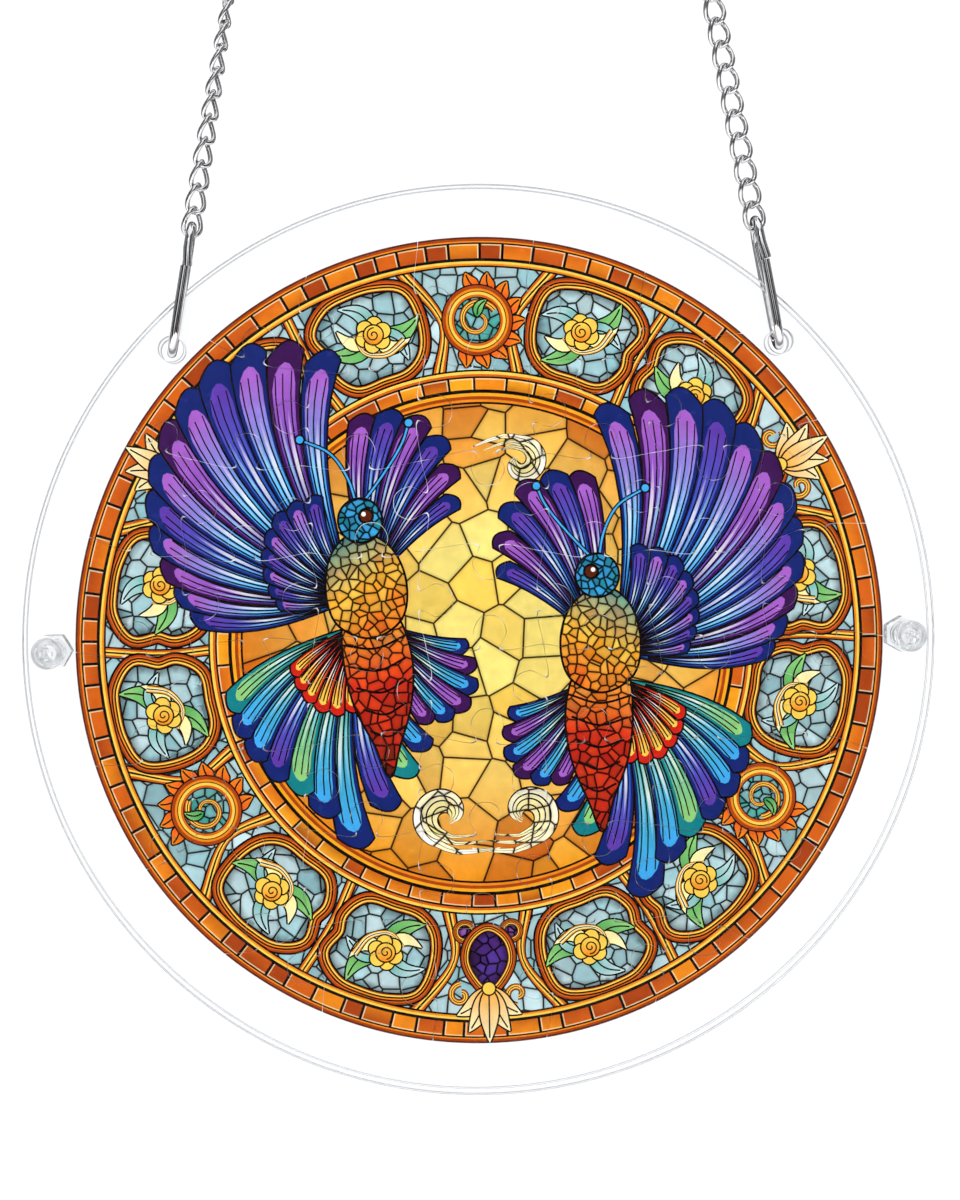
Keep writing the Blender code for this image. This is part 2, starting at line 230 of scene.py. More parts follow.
def new_material(name, values=()):
    """A material with these values on its shader, and the ways to fill sockets and add nodes."""
    material = bpy.data.materials.new(name)
    material.use_nodes = True
    tree = material.node_tree

    def fill(node, values):
        for key, value in dict(values).items():
            if isinstance(value, bpy.types.NodeSocket):
                tree.links.new(value, node.inputs[key])
            else:
                node.inputs[key].default_value = value
        return node

    def add(kind, values=(), **settings):
        node = tree.nodes.new("ShaderNode" + kind)
        for key, value in settings.items():
            setattr(node, key, value)
        return fill(node, values)

    shader = fill(tree.nodes["Principled BSDF"], values)
    return material, shader, fill, add


def noise(add, scale, detail):
    """Fine noise over the surface, as one value."""
    place = add("TexCoord")
    return add("TexNoise", {"Vector": place.outputs["Object"], "Scale": scale,
                            "Detail": detail}).outputs["Fac"]


def ranged(add, value, low, high, start=0.0, end=1.0):
    """A value that runs from start to end, made to run from low to high."""
    return add("MapRange", {"Value": value, "From Min": start, "From Max": end,
                            "To Min": low, "To Max": high}).outputs["Result"]


def two_tones(add, value, low, high, start=0.0, end=1.0):
    """A colour that goes from one tone to another as the value goes from start to end."""
    ramp = add("ValToRGB", {"Fac": value})
    for element, place, tone in zip(ramp.color_ramp.elements, (start, end), (low, high)):
        element.position = place
        element.color = (*tone, 1)
    return ramp.outputs["Color"]


def bumped(add, height, strength, depth):
    """The direction of a surface with this height in it."""
    return add("Bump", {"Height": height, "Strength": strength, "Distance": depth}).outputs[0]


def colour(code):
    """A colour written as on a paint chart, turned into the linear values that light uses."""
    levels = [int(code[start:start + 2], 16) / 255 for start in (1, 3, 5)]
    return tuple(level / 12.92 if level <= 0.04045 else ((level + 0.055) / 1.055) ** 2.4
                 for level in levels)


def let_lamps_through(material, shader, fill, add, tint):
    """Lets lamp light pass straight through glass, so that what it covers isn't left dark."""
    path = add("LightPath")
    clear = add("BsdfTransparent", {"Color": (*tint, 1)})
    mix = add("MixShader", {"Fac": path.outputs["Is Shadow Ray"], 1: shader.outputs[0],
                            2: clear.outputs[0]})
    fill(material.node_tree.nodes["Material Output"], {"Surface": mix.outputs[0]})


# %% [markdown]
# Acrylic sheet is clearer than window glass and bends light almost as much. Its faces are
# polished, with the faintest smears from handling, which show only in the gloss. The rim is
# another finish: the laser that cuts it leaves fine grooves across the thickness. Its dark grey
# tint is painted shade, for the grey lines along a clear edge. The holes are drilled, which
# frosts their walls.

# %% Clear acrylic
ACRYLIC_IOR = 1.49
GROOVE_PITCH = 0.0007
GROOVE_LENGTH = 0.00875


def clear_acrylic():
    """The polished faces of the clear plates."""
    material, shader, fill, add = new_material("clear_acrylic", {
        "Base Color": (0.985, 0.992, 0.996, 1), "Transmission Weight": 1.0, "IOR": ACRYLIC_IOR})
    smears = noise(add, 60.0, 4.0)
    fill(shader, {"Roughness": ranged(add, smears, 0.0, 0.035, start=0.45, end=0.8)})
    let_lamps_through(material, shader, fill, add, (0.94, 0.95, 0.96))
    return material


def cut_acrylic_painted_shade():
    """The laser-cut rim of the clear plates, with a dark grey tint that is painted shade."""
    # The dark grey base colour is painted shade: it stands in for the grey lines along a clear edge.
    material, shader, fill, add = new_material("cut_acrylic_painted_shade", {
        "Base Color": (0.32, 0.34, 0.37, 1), "Transmission Weight": 1.0, "IOR": ACRYLIC_IOR,
        "Roughness": 0.05})
    place = add("TexCoord")
    squeeze = add("Mapping", {"Vector": place.outputs["Object"],
                              "Scale": (1, GROOVE_PITCH / GROOVE_LENGTH, 1)})
    grooves = add("TexNoise", {"Vector": squeeze.outputs[0], "Scale": 1 / GROOVE_PITCH,
                               "Detail": 2.0})
    fill(shader, {"Normal": bumped(add, grooves.outputs["Fac"], 0.25, 0.0001)})
    let_lamps_through(material, shader, fill, add, (0.90, 0.94, 0.96))
    return material


def drilled_acrylic():
    """The frosted walls of the drilled holes."""
    material, shader, fill, add = new_material("drilled_acrylic", {
        "Base Color": (0.62, 0.63, 0.65, 1), "Transmission Weight": 0.35, "IOR": ACRYLIC_IOR,
        "Roughness": 0.5})
    let_lamps_through(material, shader, fill, add, (0.90, 0.91, 0.92))
    return material


CLEAR = clear_acrylic()
CUT_PAINTED_SHADE = cut_acrylic_painted_shade()
DRILLED = drilled_acrylic()
print("clear acrylic: polished faces and a laser-cut rim")

# %% [markdown]
# Each plate is a flat disc with four round holes: two for the screws at its sides and two for
# the oval links near its top. A 2D curve object does this well: its inner circles become holes,
# it is drawn out to the sheet's thickness, and its bevel breaks every edge by a hair. The
# round edges catch thin lines of light, and these lines are nearly all that shows of a
# clear plate on a pale ground.

# %% Clear plates
EDGE_BREAK = 0.00012
RIM_STEPS = 320
HOLE_STEPS = 48
RIM_SHARE = 0.97
HIGH_SHARE = 0.3


def hole_places():
    """Where the plate is pierced: a centre and a radius for each hole."""
    places = []
    points = corners_of("front_plate")
    flat = points[:, [0, 2]] - np.array((CENTRE.x, CENTRE.z))
    inner = flat[np.hypot(flat[:, 0], flat[:, 1]) < 0.995 * PLATE_RADIUS]
    for sign in SIDES.values():
        mine = inner[inner[:, 0] * sign > 0]
        for group in (mine[mine[:, 1] > HIGH_SHARE * PLATE_RADIUS],
                      mine[abs(mine[:, 1]) < HIGH_SHARE * PLATE_RADIUS]):
            low, high = group.min(axis=0), group.max(axis=0)
            places.append((tuple((low + high) / 2), float((high - low).mean() / 2)))
    return places


HOLES = hole_places()
for place, radius in HOLES:
    print(f"hole {2000 * radius:.1f} mm wide at {1000 * place[0]:.1f}, {1000 * place[1]:.1f} mm")


def clear_plate(node):
    """One clear plate, in the place of its solid."""
    curve = bpy.data.curves.new(node, "CURVE")
    curve.dimensions = "2D"
    curve.fill_mode = "BOTH"
    curve.extrude = PLATE_THICKNESS / 2 - EDGE_BREAK
    curve.bevel_depth = EDGE_BREAK
    curve.bevel_resolution = 2
    curve.offset = -EDGE_BREAK
    for place, radius, steps in [((0, 0), PLATE_RADIUS, RIM_STEPS)] + [
            (place, radius, HOLE_STEPS) for place, radius in HOLES]:
        spline = curve.splines.new("POLY")
        spline.points.add(steps - 1)
        for step, point in enumerate(spline.points):
            angle = 2 * math.pi * step / steps
            point.co = (place[0] + radius * math.cos(angle),
                        place[1] + radius * math.sin(angle), 0, 1)
        spline.use_cyclic_u = True
    holder = bpy.data.objects.new("holder", curve)
    mesh = bpy.data.meshes.new_from_object(holder)
    bpy.data.objects.remove(holder)
    middle = middle_of(node)
    for vertex in mesh.vertices:
        x, z, y = vertex.co
        vertex.co = (x, middle.y - y, CENTRE.z + z)
    plate = finished(node + "_sheet", cleaned(mesh), [CLEAR, CUT_PAINTED_SHADE, DRILLED], node,
                     sharp=25)
    for face in mesh.polygons:
        flat = abs(face.normal.y) > 0.99
        at_rim = (face.center - middle).length > RIM_SHARE * PLATE_RADIUS
        face.material_index = 0 if flat else 1 if at_rim else 2
        face.use_smooth = not flat
    return plate


for node in ("front_plate", "back_plate"):
    plate = clear_plate(node)
    print(plate.name, len(plate.data.polygons), "faces")

# %% [markdown]
# The picture is drawn like a stained-glass window: pieces of coloured glass between dark lines
# of lead. It is a plain roundel made up for this object, with two butterflies, flowers and
# scrolls. Each patch of colour is an outline on a flat drawing, laid over the ones before it,
# as paper cut-outs would be. The drawing's unit is the millimetre, which suits its small parts.

# %% A drawing made of cut-outs
MM = 0.001
cut_outs = []


def lay(outline, paint, other=None, cell=0.0):
    """Lays a cut-out on the drawing. paint and other are colours, or give one for a place;
    cell is how wide its pieces of glass are, or 0 for one unbroken piece."""
    points = np.array(outline, float)
    keep = np.hypot(*(points - np.roll(points, 1, axis=0)).T) > 0.01
    cut_outs.append((points[keep], paint, paint if other is None else other, cell))


def polar(radius, degrees):
    """A point by its distance and direction from the middle."""
    angle = math.radians(degrees)
    return np.array((radius * math.cos(angle), radius * math.sin(angle)))


def arc(centre, radius, start, end, steps=24):
    """Points along a round stretch."""
    return np.array([np.array(centre) + polar(radius, start + (end - start) * step / steps)
                     for step in range(steps + 1)])


def disc(centre, radius, steps=40):
    """A round cut-out's outline."""
    return arc(centre, radius, 0, 360, steps)[:-1]


def placed(points, place=(0, 0), turn=0.0, size=1.0, mirror=False):
    """Points grown, mirrored, turned and moved, in that order."""
    points = np.array(points, float) * size
    if mirror:
        points = points * (-1, 1)
    angle = math.radians(turn)
    spin = np.array(((math.cos(angle), math.sin(angle)), (-math.sin(angle), math.cos(angle))))
    return points @ spin + np.array(place)


def flowing(points, closed=False, steps=8):
    """A smooth curve through the points, which doesn't overshoot where they stand unevenly."""
    points = np.array(points, float)
    count = len(points)
    made = []
    for index in range(count if closed else count - 1):
        a, b, c, d = (points[(index + shift) % count] if closed
                      else points[min(max(index + shift, 0), count - 1)]
                      for shift in (-1, 0, 1, 2))
        if not closed and index == 0:
            a = 2 * b - c
        if not closed and index == count - 2:
            d = 2 * c - b
        first, second, third = (max(math.sqrt(math.dist(*pair)), 1e-4)
                                for pair in ((a, b), (b, c), (c, d)))
        leave = (b - a) / first - (c - a) / (first + second) + (c - b) / second
        arrive = (c - b) / second - (d - b) / (second + third) + (d - c) / third
        for step in range(steps):
            t = step / steps
            made.append((2 * t ** 3 - 3 * t ** 2 + 1) * b + (t ** 3 - 2 * t ** 2 + t) * second * leave
                        + (3 * t ** 2 - 2 * t ** 3) * c + (t ** 3 - t ** 2) * second * arrive)
    if not closed:
        made.append(points[-1])
    return np.array(made)


def grown(outline, distance):
    """A closed outline moved outwards, or inwards for a negative distance."""
    points = np.array(outline, float)
    after = np.roll(points, -1, axis=0) - points
    after /= np.maximum(np.hypot(*after.T), 1e-9)[:, None]
    area = np.sum(points[:, 0] * np.roll(points[:, 1], -1) - points[:, 1] * np.roll(points[:, 0], -1))
    normal = np.stack((after[:, 1], -after[:, 0]), axis=1) * (1 if area > 0 else -1)
    corner = normal + np.roll(normal, 1, axis=0)
    corner /= np.maximum(np.hypot(*corner.T), 0.5)[:, None]
    return points + distance * corner


def ribbon(path, width, taper=None):
    """The outline of a band along a path. taper gives the share of its width at a share of it."""
    path = np.array(path, float)
    along = np.gradient(path, axis=0)
    along /= np.maximum(np.hypot(*along.T), 1e-9)[:, None]
    normal = np.stack((-along[:, 1], along[:, 0]), axis=1)
    shares = np.linspace(0, 1, len(path))
    half = width / 2 * np.array([taper(share) if taper else 1.0 for share in shares])[:, None]
    return np.concatenate((path + half * normal, (path - half * normal)[::-1]))


def blend(first, second, share):
    """A colour between two."""
    share = min(max(share, 0.0), 1.0)
    return tuple(a + (b - a) * share for a, b in zip(first, second))


def fade(start, end, first, second, third=None):
    """A paint that changes from one colour to the next between two places."""
    start, end = np.array(start, float), np.array(end, float)
    line = end - start
    length = float(line @ line)

    def paint(place):
        share = float((place - start) @ line) / length
        if third is None:
            return blend(first, second, share)
        return blend(first, second, 2 * share) if share < 0.5 else blend(second, third,
                                                                         2 * share - 1)
    return paint


# %% [markdown]
# A glass painter works from a small box of colours. Naming them once keeps the picture calm,
# and lets one be changed everywhere at a stroke.

# %% The colours of the glass
LEAD = colour("#120805")
UMBER = colour("#5a1f06")
RUST = colour("#a8400a")
BRICK = colour("#d4610f")
ORANGE = colour("#ee8a14")
AMBER = colour("#f8a91b")
GOLD = colour("#fdcf50")
STRAW = colour("#fff08c")
CREAM = colour("#fdf0bd")
WHITE = colour("#fffdf6")
ICE = colour("#c8e0e3")
SKY = colour("#8fbcc3")
TEAL = colour("#3fa79b")
SEA = colour("#0f7f86")
GREEN = colour("#2d9a4f")
LEAF = colour("#93cf7a")
NAVY = colour("#12246e")
BLUE = colour("#1f5fc9")
AZURE = colour("#3fa9ea")
POWDER = colour("#9bd8f5")
VIOLET = colour("#5f3aa8")
ORCHID = colour("#a860c6")
PLUM = colour("#3c1150")
RED = colour("#cf1f10")
SCARLET = colour("#f04a16")

chance = random.Random(5)

# %% [markdown]
# The ground comes first: one sheet of pale glass. The border is laid later, over the ends of
# the scrolls that run under it, so its rings leave the middle free. Such a ring's outline runs
# around its outer circle and back around its inner one. The bricks between two rings are short
# curved blocks, each with a colour of its own, because hand-cut glass is never quite even. A
# pale line along two of its sides makes each block look bevelled.

# %% Rings and bricks
PICTURE = PICTURE_RADIUS / MM
BORDER_IN = PICTURE - 6.2
FRIEZE_IN = 59.0
HALO_IN = 52.6
BRICK_LIGHT = 0.28
BRICK_PALENESS = 0.55
LEAF_LINE = 0.36
VEIN = 0.34


def ring(inner, outer, steps=180):
    """The outline of a band between two circles."""
    wide, narrow = disc((0, 0), outer, steps), disc((0, 0), inner, steps)
    return np.concatenate((wide, wide[:1], narrow[:1], narrow[::-1]))


def rings(hole, radii_and_paints):
    """Bands around one hole, laid on each other from the widest to the narrowest."""
    for radius, paint in radii_and_paints:
        lay(ring(hole, radius), paint)


def sector(inner, outer, start, end, steps=4):
    """A block between two radii and two directions."""
    return np.concatenate((arc((0, 0), outer, start, end, steps),
                           arc((0, 0), inner, end, start, steps)))


def bricks(inner, outer, count, gap, paints):
    """Blocks around a ring with a dark joint between them."""
    joint = math.degrees(gap / ((inner + outer) / 2))
    start = 0.0
    widths = [chance.uniform(0.75, 1.25) for _ in range(count)]
    for width in widths:
        end = start + 360 * width / sum(widths)
        first, second = chance.choice(paints), chance.choice(paints)
        turn = (start + end) / 2
        low, high = start + joint / 2, end - joint / 2
        lay(sector(inner, outer, low, high), blend(first, CREAM, BRICK_PALENESS))
        lay(sector(inner, outer - BRICK_LIGHT, low + math.degrees(BRICK_LIGHT / outer), high),
            fade(polar(outer, turn), polar(inner, turn), first, blend(first, second, 0.6)))
        start = end


def border():
    """The rust and orange edge of the picture."""
    rings(BORDER_IN - 0.35, [(PICTURE + 2, UMBER), (PICTURE - 0.4, RUST), (PICTURE - 0.9, ORANGE),
                             (PICTURE - 1.2, LEAD)])
    bricks(BORDER_IN + 1.6, PICTURE - 1.55, 90, 0.6, [BRICK, ORANGE, BRICK, RUST, RUST])
    rings(BORDER_IN - 0.35, [(BORDER_IN + 1.3, LEAD), (BORDER_IN + 0.95, GOLD),
                             (BORDER_IN + 0.45, ORANGE), (BORDER_IN + 0.05, LEAD)])


lay(disc((0, 0), BORDER_IN + 1, 180), ICE, SKY, cell=4.2)
print("picture", round(2 * PICTURE, 1), "mm across, border", round(PICTURE - BORDER_IN, 1), "mm wide")

# %% [markdown]
# Between border and middle runs a frieze. Its frames are drawn by laying the same outline
# several times, each a little smaller: dark, rust, gold, dark, and last the glass inside. That
# gives the many fine parallel lines of carved and gilded tracery for very little work. The
# glass is darker just inside its frame, as if the frame stood proud of it.

# %% Frames, windows and jewels
FRAME_LINES = ((3.05, LEAD), (2.6, RUST), (2.2, BRICK), (1.95, LEAD), (1.6, ORANGE),
               (1.3, LEAD), (0.95, GOLD), (0.6, RUST), (0.4, LEAD))
SHADE_WIDTH = 1.8
SHADE_START = 0.45 * SHADE_WIDTH
SHADE_DEPTH = 0.62


def shaded(outline, middle):
    """A paint that is dark on the outline and the middle's colour away from it."""
    edge = blend(middle, LEAD, SHADE_DEPTH)

    def paint(place):
        return edge if np.hypot(*(outline - place).T).min() < SHADE_START else middle
    return paint


def framed(outline, paint, other, cell, size=1.0):
    """A window: frame lines around it, a soft shade that they cast, then its glass."""
    for distance, line in FRAME_LINES:
        lay(grown(outline, distance * size), line)
    lay(outline, shaded(outline, paint), shaded(outline, other), cell)
    lay(grown(outline, -SHADE_WIDTH * size), paint, other, cell)


def strand(path, width, taper=None, bright=GOLD, deep=BRICK):
    """A gilded scroll: dark edge, deep colour, bright colour and a dark line along it."""
    for share, paint in ((1.0, LEAD), (0.72, deep), (0.42, bright), (0.14, LEAD)):
        if width * share > 0.12:
            lay(ribbon(path, width * share, taper), paint)


def spiral(centre, radius, start, turns, tight=0.25, steps=40):
    """Points that wind inwards."""
    shares = [step / steps for step in range(steps + 1)]
    return np.array([np.array(centre) + polar(radius * (1 - (1 - tight) * share),
                                              start + 360 * turns * share) for share in shares])


def button(place, edge, radius, paint, steps=20):
    """A round patch with a dark edge of a larger radius."""
    lay(disc(place, edge, steps), LEAD)
    lay(disc(place, radius, steps), paint)


def leaf(root, turn, length, width, bright, deep, bend=0.18, veined=True):
    """A pointed leaf with a dark edge, a light half and a vein."""
    spine = np.array([(share * length, bend * length * math.sin(math.pi * share))
                      for share in np.linspace(0, 1, 12)])
    shape = placed(ribbon(spine, width, lambda share: math.sin(math.pi * share ** 0.75) ** 0.9),
                   root, turn)
    lay(grown(shape, LEAF_LINE), LEAD)
    lay(shape, fade(root, np.array(root) + polar(length, turn), deep, bright))
    if veined:
        lay(placed(ribbon(spine[1:-1], VEIN), root, turn), LEAD)


def rosebud(place, turn, size):
    """A yellow bud: a spiral of glass on a ring of petals, with leaves and cream curls."""
    place = np.array(place)
    for side in (-1, 1):
        leaf(place, turn + 90 * side + 28, 9.6 * size, 3.6 * size, LEAF, GREEN, 0.2 * side)
        leaf(place, turn + 90 * side - 30, 8.4 * size, 3.0 * size, ICE, TEAL, -0.22 * side)
        leaf(place, turn + 90 * side, 7.2 * size, 2.6 * size, CREAM, STRAW, 0.3 * side,
             veined=False)
    curl = [place + polar(6.2 * size, turn - 95), place + polar(4.6 * size, turn - 140),
            place + polar(3.9 * size, turn - 200), place + polar(3.7 * size, turn - 260)]
    strand(flowing(curl), 1.7 * size, lambda share: 1 - 0.6 * share, CREAM, AMBER)
    for petal in range(6):
        middle = place + polar(2.0 * size, turn + 60 * petal)
        button(middle, 1.75 * size, 1.45 * size, fade(middle, place, GOLD, SCARLET))
    button(place, 2.1 * size, 1.8 * size, fade(place + (0, 2), place - (0, 2), GOLD, ORANGE), 24)
    lay(ribbon(spiral(place, 1.4 * size, turn, 1.4, 0.15, 24), 0.3), LEAD)


def window(turn, lean):
    """A kidney-shaped pane, wider towards one end, so that neighbours mirror each other."""
    shape = []
    for radius, side in ((62.9, -5.4), (62.4, 0.0), (62.8, 5.0), (65.8, 7.9), (72.4, 8.6),
                         (78.2, 7.2), (80.0, 3.2), (80.2, -1.0), (79.6, -4.6), (76.2, -7.8),
                         (71.0, -7.0), (67.2, -7.6)):
        shape.append(polar(radius, turn + lean * side))
    framed(flowing(shape, closed=True, steps=6), ICE, SKY, cell=3.8)


def jewel(turn):
    """A large purple drop between two small ones, crowned by a cream shell over the border."""
    for side in (-1, 1):
        curl = spiral(polar(78.2, turn + 4.6 * side), 2.6, turn + 90 - 90 * side, -0.95 * side)
        strand(curl, 1.5)
        place = polar(64.0, turn + 4.6 * side)
        framed(disc(place, 1.3, 20), ORCHID, PLUM, cell=1.5, size=0.5)
    drop = flowing([(0, -5.6), (3.0, -3.6), (4.1, 0.2), (2.8, 3.8), (0, 6.6),
                    (-2.8, 3.8), (-4.1, 0.2), (-3.0, -3.6)], closed=True, steps=6)
    framed(placed(drop, polar(69.6, turn), turn - 90), VIOLET, PLUM, cell=2.4, size=0.75)
    for lobe in (-2, 2, -1, 1, 0):
        leaf(polar(76.4, turn), turn + 25 * lobe, 12.4 - 1.5 * abs(lobe), 4.2, CREAM, AMBER,
             -0.05 * lobe)
    button(polar(76.6, turn), 1.7, 1.35, GOLD)


def wheel(turn):
    """A large round scroll fringed with leaves, with a small window in its eye."""
    place = polar(70.8, turn)
    for step in range(9):
        direction = turn + 150 + 26 * step
        leaf(place + polar(6.6, direction), direction + 38, 4.6, 3.0, ORANGE, SCARLET, 0.1)
    for distance, line in ((7.9, LEAD), (7.6, RUST), (6.9, ORANGE), (6.4, LEAD), (6.2, GOLD),
                           (5.6, BRICK), (5.1, LEAD)):
        lay(disc(place, distance, 48), line)
    lay(disc(place, 4.85, 40), SKY, TEAL, cell=2.2)
    strand(spiral(place, 4.4, turn - 60, 1.25, 0.2), 1.7, lambda share: 1 - 0.55 * share)
    leaf(place + polar(0.8, turn), turn - 30, 4.2, 1.9, LEAF, GREEN)


WINDOW_TURNS = [60 * sextant + 30 + side for sextant in range(6) for side in (19.5, 40.5)]
for turn in range(30, 390, 60):
    for side in (-1, 1):
        foot, head = polar(59.0, turn + 8.4 * side), polar(84.5, turn + 12.0 * side)
        middle = polar(70.5, turn + 6.2 * side)
        strand(flowing([foot, middle, head]), 3.4, lambda share: 0.55 + 0.45 * abs(2 * share - 1))
for turn in range(0, 360, 60):
    strand(flowing([polar(58.5, turn), polar(70, turn + 0.8), polar(84.5, turn)]), 2.6)
for index, turn in enumerate(WINDOW_TURNS):
    lean = 1 if index % 2 else -1
    window(turn, lean)
    rosebud(polar(71.6, turn + 1.0 * lean), turn + 25 * lean, 1.12)
border()
for sextant in range(6):
    if sextant % 2:
        wheel(60 * sextant + 30)
    else:
        jewel(60 * sextant + 30)
print(len(cut_outs), "cut-outs with the frieze")

# %% [markdown]
# The middle glows: pale yellow in the centre and amber at its edge, broken into large pieces
# of glass. A halo of thin rings and a row of bricks separates it from the frieze.

# %% Halo and glowing middle
rings(HALO_IN - 1, [(FRIEZE_IN + 1.1, LEAD), (FRIEZE_IN + 0.7, GOLD), (FRIEZE_IN + 0.1, BRICK),
                    (FRIEZE_IN - 0.4, LEAD)])
bricks(FRIEZE_IN - 3.25, FRIEZE_IN - 0.8, 60, 0.5, [BRICK, ORANGE, RUST, AMBER])
rings(HALO_IN - 1, [(FRIEZE_IN - 3.6, LEAD), (FRIEZE_IN - 4.0, AMBER), (FRIEZE_IN - 4.7, RUST),
                    (FRIEZE_IN - 5.4, ORANGE), (HALO_IN + 0.45, LEAD)])


def glow(place):
    """Pale yellow near the middle, amber towards the halo."""
    share = float(np.hypot(place[0] - 2, place[1] - 4)) / HALO_IN
    return blend(STRAW, AMBER, 1.4 * share - 0.5)


def deeper_glow(place):
    """The second colour of the same glass."""
    share = float(np.hypot(place[0] - 2, place[1] - 4)) / HALO_IN
    return blend(GOLD, BRICK, 1.4 * share - 0.4)


lay(disc((0, 0), HALO_IN, 120), glow, deeper_glow, cell=9.0)


def wave_taper(share):
    """Thin at the root, full in the curl and thin again at the tip."""
    return 0.06 + 0.94 * math.sin(math.pi * min(share * 1.1, 1)) ** 0.7


def cream_scroll(place, turn, size, mirror=False):
    """A breaking wave of cream glass: three ribbons that share a root and curl over."""
    for start, reach, width, paint in ((0, 10.5, 4.2, WHITE), (-28, 8.0, 3.2, CREAM),
                                       (-50, 6.0, 2.6, STRAW)):
        curl = [(-reach * 1.3, -reach * 0.55), (-reach * 0.4, -reach * 0.75)]
        curl += list(spiral((0, 0), reach * 0.62, -80 + start * 0.2, 0.86, 0.3, 26))
        path = placed(flowing(curl, steps=2), place, turn, size, mirror)
        lay(ribbon(path, (width + 0.75) * size, wave_taper), LEAD)
        lay(ribbon(path, width * size, wave_taper), paint, CREAM, cell=4.5)
        lay(ribbon(path, VEIN, wave_taper), LEAD)


cream_scroll((9.0, -38.0), 8, 0.95)
cream_scroll((-9.0, -38.0), -8, 0.95, mirror=True)
cream_scroll((9.0, 40.0), 186, 0.75, mirror=True)
print(len(cut_outs), "cut-outs with the middle")

# %% [markdown]
# A butterfly's wing is a fan of cells between veins, and so is this one: each cell starts at
# the wing's root and ends in a scallop. It is laid three times: a dark line, a deep edge, and
# inside that a colour that changes from root to scallop, with streaks and veins along it. The fans
# differ only in angles, lengths and colours, so one function draws all of them. The drawing is
# made once, facing right, and mirrored for the second butterfly.

# %% Wings
CELLS_PER_REACH = 1.5


def edged(pose, outline, edge, paint, other=None, cell=0.0):
    """Lays a posed cut-out with a dark line of this width around it."""
    lay(pose(grown(outline, edge)), LEAD)
    lay(pose(outline), paint, other, cell)


def wing_cell(pose, root, turns, reach, paints, bend):
    """One cell of a wing between two directions, curving a little as it goes out."""
    start, end = turns
    deep, first, second, third = paints
    root = np.array(root, float)

    def at(share, side):
        """A point by its share of the reach and of the angle between the two veins."""
        return root + polar(share * reach, start + (end - start) * side + bend * share ** 2)

    inner = [at(0.07, side) for side in (1, 0.5, 0)]
    outer = [at(1 + 0.045 * math.sin(math.pi * side), side) for side in np.linspace(0, 1, 9)]
    low_vein = [at(share, 0) for share in np.linspace(0.15, 0.95, 9)]
    high_vein = [at(share, 1) for share in np.linspace(0.95, 0.15, 9)]
    cell = np.array(inner + low_vein + outer + high_vein)
    edged(pose, cell, 0.42, deep)
    width = math.radians(end - start) * reach
    tip = [(0.88, 0.12), (0.93, 0.2), (0.96, 0.35), (0.97, 0.5), (0.96, 0.65), (0.93, 0.8),
           (0.88, 0.88)]
    glass = np.array([at(0.14, 0.5)] + [at(share, 0.12) for share in np.linspace(0.3, 0.82, 7)]
                     + [at(share, side) for share, side in tip]
                     + [at(share, 0.88) for share in np.linspace(0.82, 0.3, 7)])
    far, near = pose(np.array([at(0.93, 0.5), at(0.1, 0.5)]))
    lay(pose(glass), fade(near, far, first, second, third))
    for side, light in ((0.3, POWDER), (0.62, WHITE)):
        streak = ribbon([at(share, side) for share in np.linspace(0.35, 0.8, 9)], 0.1 * width,
                        lambda share: math.sin(math.pi * share))
        foot, head = pose(np.array([at(0.35, side), at(0.8, side)]))
        lay(pose(streak), fade(foot, head, second, blend(second, light, 0.7), third))
    for side in (0.22, 0.46, 0.74):
        vein = ribbon([at(share, side) for share in np.linspace(0.22, 0.93, 9)], 0.4,
                      lambda share: 1 - 0.3 * share)
        lay(pose(vein), LEAD)


def fan(pose, root, turns, reaches, paints, bend=0.0):
    """Cells side by side, from the first direction to the last, along a smooth outer edge."""
    known = np.linspace(0, 1, len(reaches))
    reaches = np.interp(np.linspace(0, 1, round(CELLS_PER_REACH * len(reaches))), known, reaches)
    step = (turns[1] - turns[0]) / len(reaches)
    for index, reach in enumerate(reaches):
        start = turns[0] + step * index
        wing_cell(pose, root, (start, start + step), reach, paints[index % len(paints)], bend)


NIGHT = (NAVY, SEA, BLUE, VIOLET)
DAWN = (NAVY, BLUE, AZURE, ORCHID)
DUSK = (PLUM, AZURE, VIOLET, ORCHID)
MEADOW = (SEA, GREEN, TEAL, LEAF)
LAGOON = (NAVY, SEA, TEAL, AZURE)
EMBER = (RED, RED, SCARLET, GOLD)

# %% [markdown]
# The body is broad and warm: scales of orange and red glass, which the cells of the print
# make when their size is small. The head is teal, with an eye and two feelers.

# %% Bodies
BODY_LINE = 0.5


